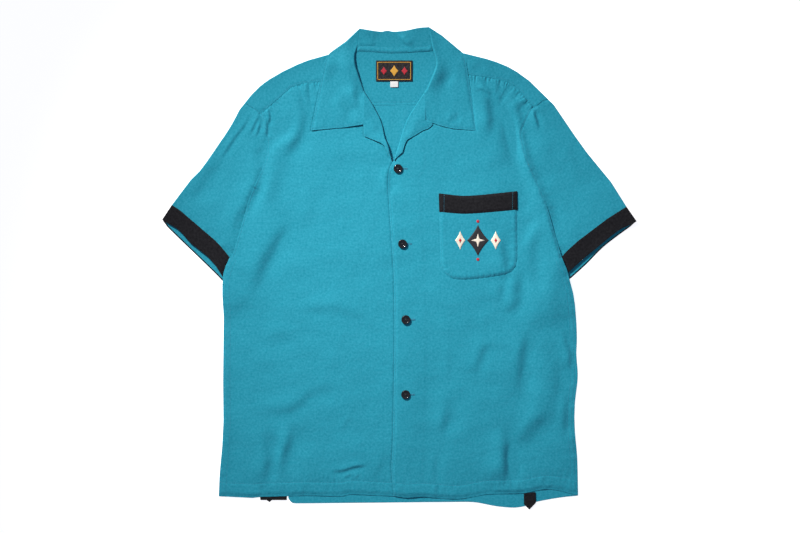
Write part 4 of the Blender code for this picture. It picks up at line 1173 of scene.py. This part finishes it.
def make_facing(side):
    """The lapel: the facing turned back over the front, round at its roll."""
    name = "facing_" + side
    outline = OUTLINE[name]
    bulge = 1.0
    fall, rise = (0.1, 1.4) if side == "right" else (0.5, 0.9)  # of the edge and of its lower end
    roll = moved_run(side_cut(outline, side, "roll_foot", "gorge_top"), -bulge)
    rest = side_cut(outline, side, "gorge_top", "roll_foot")
    edge = side_cut(outline, side, "lapel", "roll_foot")
    line = moved_run(edge, -TOPSTITCH)

    def extra(points):
        from_foot = from_corner(points, "roll_foot_" + side)
        return (rippled(points, "facing") + grooved(points, line, "seam")
                + bank(points, edge, 3.5, 0.12) + puckered(points, edge, "facing")
                + lowered(points, edge, fall, 7.0) * ramp(from_foot, 30, 60)
                + rise * ramp(from_foot, 56, 26) * ramp(from_foot, 2, 14)
                + lowered(points, roll, 1.6, 16.0) * ramp(away(points, edge), 2.0, 14.0))

    cloth = Cloth()
    ids = cloth.sheet(np.vstack((roll, rest[1:-1])), name, extra, step=TRIM_STEP, lines=[line],
                      settle=60)[:len(roll)]
    cloth.turn(ids, bulge, low=np.maximum(cloth.points[ids][:, 2] - 4.0, 2.2))
    finish_cloth(name, cloth, HEMMED, "teal crepe", 4 * SIDES[side], "teal_cloth", (0.05, 0.11),
                 0.0025, ["front_" + side])
    stitch(name, line)


def make_collar():
    """The leaf's two ends over the shoulders, rolled over at the neck; the stand behind the neck,
    turned over at its top; and the leaf's middle, which lies flat below the yoke."""
    cloth = Cloth()
    stitched = []
    for side, roll_fall in (("right", 2.9), ("left", 0.5)):
        outline = OUTLINE["leaf_" + side]
        turned = side_cut(outline, side, "gorge_top", "leaf_shoulder")
        rest = side_cut(outline, side, "leaf_shoulder", "gorge_top")
        free = side_cut(outline, side, "leaf_shoulder", "notch")
        edge = side_cut(outline, side, "leaf_shoulder", "leaf_point")
        fold = side_cut(outline, side, "stand_top", "leaf_shoulder")
        roll = side_cut(outline, side, "gorge_top", "stand_top")
        top = "stand_top_" + side
        bulge = ((1.1 + 1.5 * ramp(from_corner(turned, top), 0, 40))
                 * (0.2 + 0.8 * ramp(from_corner(turned, "leaf_shoulder_" + side), 0, 12)))
        inner = moved_run(turned, -bulge[:, None])
        line = moved_run(free, -TOPSTITCH)

        def extra(points, top=top, free=free, line=line, fold=fold, edge=edge, roll=roll,
                  roll_fall=roll_fall):
            return (creased(points, LEAF_CREASES) + rippled(points, "leaf")
                    - 3.6 * ramp(from_corner(points, top), 46, 0) + lowered(points, fold, 1.6, 22)
                    + lowered(points, roll, roll_fall, 18) + bank(points, free, 5.0, 0.15)
                    + grooved(points, line, "edge") + puckered(points, free, "leaf")
                    + lowered(points, free, 0.35, 9.0) + lowered(points, edge, 0.8, 6.0))

        ids = cloth.sheet(np.vstack((inner, rest[1:-1])), "leaf_" + side, extra, step=2.2,
                          lines=[line], settle=60, level=2.2)[:len(inner)]
        low = np.where(away(turned, fold) < 0.5, 0.35, 3.1)
        low = np.convolve(np.pad(low, 4, mode="edge"), np.ones(9) / 9, mode="valid")
        cloth.turn(ids, bulge, low=np.minimum(low, cloth.points[ids][:, 2] - 1.6))
        stitched.append(line)
    stand = OUTLINE["stand"]
    bulge = 0.9
    inner = moved_run(cut(stand, "stand_top_left", "stand_top_right"), -bulge)
    rest = cut(stand, "stand_top_right", "stand_top_left")
    ids = cloth.sheet(np.vstack((inner, rest[1:-1])), "stand",
                      lambda points: creased(points, STAND_CREASES) + rippled(points, "stand"),
                      step=TRIM_STEP, settle=30, level=1.3)
    cloth.turn(ids[:len(inner)], bulge, low=np.full(len(inner), 0.4))
    cloth.sheet(moved_out(OUTLINE["under_leaf"], -1.2), 0.12, 0, step=HIDDEN_STEP, faces_down=True)
    finish_cloth("collar", cloth, HEMMED, "teal crepe", 90, "teal_cloth", (0.46, 0.11), 0.0365,
                 ["front_left", "front_right", "yoke"])
    for line in stitched:
        stitch("collar", line)


def make_trim(node, settle, facts, grown=0.1, ripples=None, fall=None, lift=0.0):
    """A small flat piece, whose edge falls by a depth over a reach: its outline."""
    outline = moved_out(smooth_outline(FORMS[node][0], FINE_STEP), grown)

    def extra(points):
        total = np.full(len(points), lift)
        if ripples:
            total += rippled(points, ripples)
        if fall:
            total += lowered(points, closed(outline), *fall)
        return total

    cloth = Cloth()
    cloth.sheet(outline, node, extra, step=FINE_STEP, settle=settle)
    finish_cloth(node, cloth, TAPE, *facts)
    return outline


def make_neck_tape():
    """The bias tape that covers the seam at the back of the neck."""
    outline = make_trim("neck_tape", 10, ("teal crepe", 45, "teal_cloth", (0.13, 0.012), 0.00105,
                                          ["yoke", "collar"]),
                        grown=0.2, ripples="neck_tape", fall=(0.9, 3.0))
    low, high = outline.min(0), outline.max(0)
    xs = np.arange(low[0] + 3, high[0] - 3, 4.0)
    columns = [outline[np.abs(outline[:, 0] - x) < 3.0][:, 1] for x in xs]
    stitch("neck_tape", np.column_stack((xs, [column.min() + 1.5 for column in columns])))
    stitch("neck_tape", np.column_stack((xs, [column.max() - 1.5 for column in columns])))


def free_edge(side):
    """The free edge of a cuff's lower layer, between its tip and its foot."""
    layer = OUTLINE[f"cuff_{side}_under"]
    tip, foot = from_corner(layer, "cuff_tip_" + side).argmin(), layer[:, 1].argmin()
    first, last = (tip, foot) if side == "right" else (foot, tip)
    return np.roll(layer, -first, axis=0)[:(last - first) % len(layer) + 1]


def spread_edge(outline, side, distance):
    """An outline moved out by a distance where it runs along the free edge of a cuff."""
    free = free_edge(side)
    from_ends = np.minimum(np.hypot(*(outline - free[0]).T), np.hypot(*(outline - free[-1]).T))
    return moved_out(outline, distance * (away(outline, free) < 4.0) * ramp(from_ends, 4, 14))


def pressed_tube(name, side, ends, bulge, spread, upper_extra, upper_sheet, lower_sheet):
    """Cloth pressed flat in two layers, round at the fold between two corners. The lower layer is
    spread beyond its outline at the free edge."""
    upper, lower = OUTLINE[name], spread_edge(OUTLINE[name + "_under"], side, spread)
    fold = moved_run(side_cut(upper, side, *ends), -bulge)
    rest, lower_rest = (side_cut(outline, side, *ends[::-1])[1:-1] for outline in (upper, lower))
    cloth = Cloth()
    top = cloth.sheet(np.vstack((fold, rest)), name, upper_extra, **upper_sheet)
    bottom = cloth.sheet(np.vstack((fold, lower_rest)), name + "_under", 0.03, faces_down=True,
                         **lower_sheet)
    cloth.turn(top[:len(fold)], bulge, low_ids=bottom[:len(fold)])
    return cloth


def make_sleeve(side):
    """A flattened tube with its fold over the arm."""
    front, yoke, cuff = (OUTLINE[other + side] for other in ("front_", "yoke_", "cuff_"))

    def extra(points):
        return (creased(points, CREASES) + rippled(points) + sunk(points, front, ARM_STEP[side])
                + sunk(points, yoke) - 1.6 * ramp(from_corner(points, "underarm_" + side), 22, 6)
                + puckered(points, closed(front), "sleeve_head")
                + puckered(points, closed(cuff), "sleeve_end"))

    fine = [(CREASES[crease][2], 12.0, 1.3)
            for crease in ("sleeve_right_top", "sleeve_right_short", "sleeve_left_short")]
    cloth = pressed_tube("sleeve_" + side, side, ("shoulder_out", "sleeve_end"), 1.05, 1.7, extra,
                         {"level": 1.9, "fine": fine}, {"step": HIDDEN_STEP, "settle": 20})
    finish_cloth("sleeve_" + side, cloth, SINGLE, "teal crepe", 42 * SIDES[side], "teal_cloth",
                 (0.40, 0.20), 0.046, ["table", "cuff_" + side])


def make_cuff(side):
    """A band round the end of the sleeve, open at its edge."""
    def extra(points):
        return (rippled(points, "cuff") + bank(points, closed(OUTLINE["cuff_" + side]), 5.0, 0.12)
                + tucked(points, OUTLINE["front_" + side], 1.2, 5.0))

    cloth = pressed_tube("cuff_" + side, side, ("sleeve_end", "cuff_tip"), 1.3, 1.0, extra,
                         {"step": TRIM_STEP, "settle": 40}, {"step": 3.0, "settle": 0})
    finish_cloth("cuff_" + side, cloth, HEMMED, "black crepe", 42 * SIDES[side], "black_cloth",
                 (0.36, 0.027), 0.0085, ["table"])


def make_pocket():
    outline = moved_out(OUTLINE["pocket"], 0.1)
    line = moved_run(closed(outline), -1.6)
    line = line[line[:, 1] < 84]
    order = np.argmax(np.hypot(*np.diff(closed(line), axis=0).T))
    line = np.roll(line, -(order + 1), axis=0)
    foot = line[line[:, 1] < 10]

    def extra(points):
        return (creased(points, CREASES) + rippled(points)
                + lowered(points, closed(outline), 0.95, 3.5)
                + bank(points, closed(outline), 8.5, 0.10) + grooved(points, line, "edge")
                + puckered(points, closed(outline), "pocket") + puckered(points, foot, "pocket_foot"))

    cloth = Cloth()
    cloth.sheet(outline, "pocket", extra, step=TRIM_STEP, lines=[line])
    finish_cloth("pocket", cloth, HEMMED, "teal crepe", 0, "teal_cloth", (0.122, 0.136), 0.0152,
                 ["front_left"])
    stitch("pocket", line)
    band = moved_out(OUTLINE["pocket_band"], 0.1)
    cloth = Cloth()
    cloth.sheet(band, "pocket_band",
                lambda points: creased(points, CREASES) + rippled(points) + 0.10
                + lowered(points, closed(band), 1.1, 4.0), step=TRIM_STEP)
    finish_cloth("pocket_band", cloth, HEMMED, "black crepe", 0, "black_cloth", (0.122, 0.03), 0.0035,
                 ["pocket"])
    low, high = band.min(0), band.max(0)
    for x in (low[0] + 7.6, high[0] - 7.6):
        column = band[np.abs(band[:, 0] - x) < 4][:, 1]
        stitch("pocket_band", [(x, column.min() + 2.2), (x + 0.2, column.mean()),
                               (x + 0.3, column.max() - 2.2)])


def make_tabs():
    for node in ("tab_right", "tab_left"):
        outline = moved_out(smooth_outline(FORMS[node][0], FINE_STEP), 0.1)
        width, length = (outline.max(0) - outline.min(0)) * MM
        make_trim(node, 5, ("black crepe", 0, "black_cloth", (width, length), 0.00037, ["back"]),
                  ripples="tab")


def make_labels():
    outline = make_trim("label_main", 5, ("label ground", 0, "label_cloth", (0.0562, 0.0322), None,
                                          ["yoke"]), ripples="label_main", fall=(0.3, 1.5))
    stitch("label_main", closed(moved_out(outline, -1.2)), "black thread")
    make_trim("label_size", 0, ("white tape", 0, "white_cloth", (0.0118, 0.0105), None, ["yoke"]),
              lift=-0.1)


# Laid threads: the design on the pocket and the ornament on the label.

def lozenge(x, y, width, height, sides=5):
    """A lozenge with slightly hollow sides."""
    corners = np.array(((x + width / 2, y), (x, y + height / 2),
                        (x - width / 2, y), (x, y - height / 2)))
    made = []
    for start, stop in zip(corners, np.roll(corners, -1, axis=0)):
        t = np.linspace(0, 1, sides, endpoint=False)[:, None]
        bow = ((start + stop) / 2 - (x, y)) * 0.10
        made.append(start + (stop - start) * t - bow * 4 * t * (1 - t))
    return np.vstack(made)


def star(x, y, outer, inner, points=4):
    turns = np.arange(2 * points) * math.pi / points + math.pi / 2
    reach = np.where(np.arange(2 * points) % 2, inner, outer)
    return np.column_stack((x + reach * np.cos(turns), y + reach * np.sin(turns)))


def satin_patch(name, node, outline, thread, lift, crown, grain, step=0.9):
    """A crowned patch of satin stitch on a finished piece."""
    outline = np.asarray(outline, float)
    dense = np.vstack([start + (stop - start) * np.linspace(
        0, 1, max(1, round(np.hypot(*(stop - start)) / step)), endpoint=False)[:, None]
        for start, stop in zip(outline, np.roll(outline, -1, axis=0))])
    low, high = dense.min(0), dense.max(0)
    across, up = np.meshgrid(np.arange(low[0], high[0], step), np.arange(low[1], high[1], step))
    inner = np.column_stack((across.ravel(), up.ravel()))
    inner = inner[within(inner, dense) & (away(inner, closed(dense)) > 0.5 * step)]
    plan, faces, _ = triangles(np.vstack((dense, inner)), dense)
    base = height_on(SURFACES[node], plan)
    top = base + lift + crown * np.sqrt(ramp(away(plan, closed(dense)), 0, 2.2))
    points = np.vstack((np.column_stack((plan, top)), np.column_stack((plan, base - 0.1))))
    count = len(plan)
    start, stop = open_edges(faces).T
    walls = np.vstack((np.column_stack((stop, start, start + count)),
                       np.column_stack((stop, start + count, stop + count))))
    faces = np.vstack((faces, faces[:, ::-1] + count, walls))
    placed(made_piece(name, points, faces, thread + " thread", grain))
    SURFACES[name] = BVHTree.FromPolygons(points.tolist(), faces.tolist())


DESIGN = (121.5, 43.0)  # middle of the pocket's design


def make_pocket_design():
    """A generic ornament in thread: a black lozenge with a cream star, between two cream
    lozenges with red hearts."""
    x, y = DESIGN
    satin_patch("design_lozenge", "pocket", lozenge(x, y, 34, 48), "black",
                0.25, 0.45, 0)
    satin_patch("design_star", "design_lozenge", star(x, y, 10.5, 3.4), "cream",
                0.2, 0.3, 90)
    for number, sign in enumerate((-1, 1), 1):
        middle, side = x + sign * 27.5, f"design_side_{number}"
        satin_patch(side, "pocket", lozenge(middle, y, 16, 29), "cream", 0.25, 0.4, 90)
        satin_patch(f"design_heart_{number}", side, lozenge(middle, y, 4.6, 8), "red",
                    0.2, 0.2, 0)
        satin_patch(f"design_dot_{number}", "pocket", circle(x, y + sign * 29.5, 2.4), "red",
                    0.2, 0.3, 0)


def make_label_ornament():
    """A plain border and three lozenges, woven in gold and red."""
    low, high = OUTLINE["label_main"].min(0), OUTLINE["label_main"].max(0)
    x, y = (low + high) / 2
    inset, line = 2.6, 0.9
    width, height = high - low - 2 * inset
    for number, (x_mid, y_mid, w, h) in enumerate((
            (x, high[1] - inset, width, line), (x, low[1] + inset, width, line),
            (low[0] + inset, y, line, height), (high[0] - inset, y, line, height)), 1):
        box = [(x_mid + i * w / 2, y_mid + j * h / 2) for i, j in ((-1, -1), (1, -1), (1, 1), (-1, 1))]
        satin_patch(f"label_border_{number}", "label_main", box, "gold", 0.08, 0.06, 0)
    for number, (offset, w, h, thread) in enumerate((
            (0.0, 13.0, 18.0, "gold"), (-16.0, 10.0, 13.0, "red"), (16.0, 10.0, 13.0, "red")), 1):
        satin_patch(f"label_lozenge_{number}", "label_main", lozenge(x + offset, y, w, h), thread,
                    0.08, 0.12, 0, step=0.7)


# Stitches.

def stitch_tree():
    """Geometry nodes: a stitch of thread at each pitch along every edge of a mesh."""
    tree = bpy.data.node_groups.new("row of stitches", "GeometryNodeTree")
    interface = tree.interface
    interface.new_socket("Geometry", in_out="INPUT", socket_type="NodeSocketGeometry")
    for label, value in STITCH_SIZES.items():
        interface.new_socket(label, in_out="INPUT", socket_type="NodeSocketFloat").default_value = value
    interface.new_socket("Thread", in_out="INPUT", socket_type="NodeSocketMaterial")
    interface.new_socket("Geometry", in_out="OUTPUT", socket_type="NodeSocketGeometry")
    given = tree.nodes.new("NodeGroupInput").outputs
    curve = new_node(tree, "GeometryNodeMeshToCurve", {0: given["Geometry"]})
    spread = new_node(tree, "GeometryNodeCurveToPoints",
                      {"Curve": curve.outputs[0], "Length": given["Pitch"]}, mode="LENGTH")
    ball = new_node(tree, "GeometryNodeMeshUVSphere", {"Segments": 8, "Rings": 6, "Radius": 0.5})
    size = new_node(tree, "ShaderNodeCombineXYZ",
                    {"X": given["Thickness"], "Y": given["Thickness"], "Z": given["Length"]})
    place = new_node(tree, "GeometryNodeInstanceOnPoints",
                     {"Points": spread.outputs["Points"], "Instance": ball.outputs["Mesh"],
                      "Rotation": spread.outputs["Rotation"], "Scale": size.outputs[0]})
    real = new_node(tree, "GeometryNodeRealizeInstances", {0: place.outputs[0]})
    finish = new_node(tree, "GeometryNodeSetMaterial",
                      {"Geometry": real.outputs[0], "Material": given["Thread"]})
    new_node(tree, "NodeGroupOutput", {0: finish.outputs[0]})
    return tree


def make_stitching():
    """One piece for each thread, with all the lines that were noted while the cloth was made."""
    sockets = {item.name: item.identifier for item in STITCHES.interface.items_tree
               if item.in_out == "INPUT"}
    for thread, slot in (("teal thread", "teal_cloth"), ("black thread", "black_cloth")):
        name = thread.replace(" ", "_") + "_stitching"
        points, edges = [], []
        for row in (row for noted, row in STITCH_ROWS if noted == thread):
            first = len(points)
            points += (row * MM).tolist()
            edges += [(first + step, first + step + 1) for step in range(len(row) - 1)]
        data = bpy.data.meshes.new(name + " guide")
        data.from_pydata(points, edges, [])
        guide = linked(name + " guide", data)
        modifier = guide.modifiers.new("stitches", "NODES")
        modifier.node_group = STITCHES
        for label, value in STITCH_SIZES.items():
            modifier[sockets[label]] = value
        modifier[sockets["Thread"]] = bpy.data.materials[thread]
        mesh = frozen(guide)
        mesh.name = name
        placed(linked(name, mesh))


# Buttons and buttonholes.

BUTTON_RADIUS = 7.0
BUTTON_HEIGHT = 3.0
BUTTON_SEGMENTS = 64
BUTTON_PROFILE = ((0.0, 0.05), (0.62, 0.0), (0.86, 0.06), (0.97, 0.28), (1.0, 0.50), (0.985, 0.72),
                  (0.93, 0.92), (0.86, 1.0), (0.78, 0.985), (0.71, 0.88), (0.66, 0.74), (0.58, 0.64),
                  (0.40, 0.60), (0.0, 0.585))  # shares of the radius and of the height
BUTTON_DISH = 0.62  # height of the dished middle, as a share
HOLE_RADIUS = 0.95
HOLE_PLACE = 1.75  # holes' middles from the button's, along X and Y


def button_blank():
    """A turned button with a raised rim, a dished middle and four holes."""
    mesh = bmesh.new()
    rings = []
    turns = [math.tau * step / BUTTON_SEGMENTS for step in range(BUTTON_SEGMENTS)]
    for share, up in BUTTON_PROFILE:
        reach = share * BUTTON_RADIUS * MM
        spots = [(reach * math.cos(turn), reach * math.sin(turn)) for turn in turns]
        rings.append([mesh.verts.new((x, y, up * BUTTON_HEIGHT * MM))
                      for x, y in (spots if share else spots[:1])])
    for below, above in zip(rings, rings[1:]):
        for step in range(BUTTON_SEGMENTS):
            after = (step + 1) % BUTTON_SEGMENTS
            if len(below) == 1:
                mesh.faces.new((below[0], above[after], above[step]))
            elif len(above) == 1:
                mesh.faces.new((below[step], below[after], above[0]))
            else:
                mesh.faces.new((below[step], below[after], above[after], above[step]))
    bmesh.ops.recalc_face_normals(mesh, faces=mesh.faces)
    drill = bmesh.new()
    for x in (-HOLE_PLACE, HOLE_PLACE):
        for y in (-HOLE_PLACE, HOLE_PLACE):
            made = bmesh.ops.create_cone(drill, cap_ends=True, segments=20, radius1=HOLE_RADIUS * MM,
                                         radius2=HOLE_RADIUS * MM, depth=4 * BUTTON_HEIGHT * MM)
            bmesh.ops.translate(drill, verts=made["verts"], vec=(x * MM, y * MM, 0))
    solids = []
    for name, form_mesh in (("button blank", mesh), ("button drill", drill)):
        data = bpy.data.meshes.new(name)
        form_mesh.to_mesh(data)
        form_mesh.free()
        solids.append(linked(name, data))
    blank, cutter = solids
    modifier = blank.modifiers.new("holes", "BOOLEAN")
    modifier.object = cutter
    modifier.solver = "EXACT"
    made = frozen(blank)
    bpy.data.objects.remove(cutter)
    made.materials.clear()
    made.materials.append(bpy.data.materials["button resin"])
    made.set_sharp_from_angle(angle=math.radians(40))
    return made


def thread_tube(rows, radius, name, thread):
    """Short threads, each round a row of points in millimetres."""
    curve = bpy.data.curves.new(name, "CURVE")
    curve.dimensions = "3D"
    curve.bevel_depth = radius * MM
    curve.bevel_resolution = 2
    curve.use_fill_caps = True
    for row in rows:
        spline = curve.splines.new("POLY")
        spline.points.add(len(row) - 1)
        for point, place in zip(spline.points, row):
            point.co = (*(coordinate * MM for coordinate in place), 1)
    mesh = frozen(linked(name + " curve", curve))
    mesh.materials.clear()
    mesh.materials.append(bpy.data.materials[thread])
    placed(linked(name, mesh))


def make_buttons():
    blank = button_blank()
    for name, (x, y) in BUTTON_PLACES.items():
        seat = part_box(name)[0].z / MM - 0.1
        data = blank.copy()
        for vertex in data.vertices:
            vertex.co += Vector((x, y, seat)) * MM
        button = linked(name + "_resin", data)
        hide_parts(name)
        placed(button)
        dish = seat + BUTTON_DISH * BUTTON_HEIGHT
        rows = []
        for start, stop in (((-1, -1), (1, 1)), ((-1, 1), (1, -1))):
            for shift in (-0.34, 0.34):
                rise = 0.35 + (0.4 if start[1] > 0 else 0)
                row = []
                for share, up in ((0.0, -1.6), (0.03, 0.0), (0.2, rise), (0.5, rise + 0.12),
                                  (0.8, rise), (0.97, 0.0), (1.0, -1.6)):
                    across = start[0] + (stop[0] - start[0]) * share
                    along = start[1] + (stop[1] - start[1]) * share
                    row.append((x + HOLE_PLACE * across + shift * start[1] * 0.7,
                                y + HOLE_PLACE * along + shift * 0.7, dish + up))
                rows.append(row)
        thread_tube(rows, 0.24, name + "_thread", "black thread")


def make_buttonholes():
    """A worked hole below each button: two banks of close stitches along a slit."""
    reach_in, reach_out, half_gap = 3.0, 13.6, 0.75
    cloth = SURFACES["front_left"]
    rows = []
    for x, y in BUTTON_PLACES.values():
        start, stop = x - reach_in, x + reach_out
        spots = np.array([(start + step, y + side * half_gap)
                          for side in (-1, 1) for step in np.arange(0, reach_in + reach_out, 0.42)])
        bars = np.array([(bar + shift, y) for bar in (start - 0.4, stop + 0.2)
                         for shift in np.arange(-0.4, 0.5, 0.4)])
        for places, half, sink, rise in ((spots, 0.62, 0.02, 0.30), (bars, 1.5, 0.0, 0.32)):
            for (sx, sy), z in zip(places, height_on(cloth, places)):
                rows.append(((sx, sy - half, z + sink), (sx, sy, z + rise), (sx, sy + half, z + sink)))
    thread_tube(rows, 0.2, "buttonhole_stitches", "teal thread")


# Floor, lights and camera.

CAMERA_AIM = (0.0008, 0.0026)
CAMERA_HEIGHT = 2.93
CAMERA_LENS = 85.0
FLOOR_SIZE = 60.0
FLOOR_GAP = 0.0002
FLOOR_GLOW = 0.80
WORLD_LIGHT = 0.20
WORLD_COLOUR = (0.96, 1.0, 1.4)
KEY_PLACE = Vector((-0.721, 0.995, 0.860))
KEY_AIM = Vector((0.570, -0.789, 0.0))
KEY_CONE = math.radians(61.9)
KEY_SOFTNESS = 0.09
KEY_WATTS = 170.0


def make_stage():
    new_material("pale floor", (0.92, 0.92, 0.915), 0.9, Specular_IOR_Level=0.1,
                 Emission_Color=(1, 1, 0.985, 1), Emission_Strength=FLOOR_GLOW)
    half = FLOOR_SIZE / 2
    data = bpy.data.meshes.new("floor")
    data.from_pydata([(-half, -half, 0), (half, -half, 0), (half, half, 0), (-half, half, 0)], [],
                     [(0, 1, 2, 3)])
    data.materials.append(bpy.data.materials["pale floor"])
    floor = linked("table", data)
    floor.location.z = -FLOOR_GAP
    world = bpy.data.worlds.new("soft room")
    bpy.context.scene.world = world
    world.use_nodes = True
    tree = world.node_tree
    background = tree.nodes["Background"]
    background.inputs["Color"].default_value = (*WORLD_COLOUR, 1)
    seen = tree.nodes.new("ShaderNodeLightPath").outputs["Is Camera Ray"]
    node_input(tree, background, "Strength",
               maths(tree, "MULTIPLY_ADD", seen, 1.0 - WORLD_LIGHT, WORLD_LIGHT))


def make_lamps():
    key = bpy.data.lights.new("key", "SPOT")
    key.spot_size = KEY_CONE
    key.spot_blend = 1.0
    key.shadow_soft_size = KEY_SOFTNESS
    key.energy = KEY_WATTS
    lamp = linked("key", key)
    lamp.location = KEY_PLACE
    lamp.rotation_euler = (KEY_AIM - KEY_PLACE).to_track_quat("-Z", "Y").to_euler()
    lamp.visible_camera = False


def make_camera():
    data = bpy.data.cameras.new("camera")
    data.lens = CAMERA_LENS
    data.clip_end = 200.0
    camera = linked("camera", data)
    camera.location = (*CAMERA_AIM, CAMERA_HEIGHT)
    bpy.context.scene.camera = camera
    bpy.context.scene.view_settings.view_transform = "Standard"


CREPE = crepe_group()
SATIN = satin_group()
make_materials()
STITCHES = stitch_tree()
make_camera()
make_lamps()
make_stage()
make_back()
make_yoke()
for wearer_side in SIDES:
    make_sleeve(wearer_side)
    make_cuff(wearer_side)
    make_front(wearer_side)
    make_facing(wearer_side)
make_collar()
make_neck_tape()
make_pocket()
make_tabs()
make_labels()
make_pocket_design()
make_label_ornament()
make_stitching()
make_buttons()
make_buttonholes()
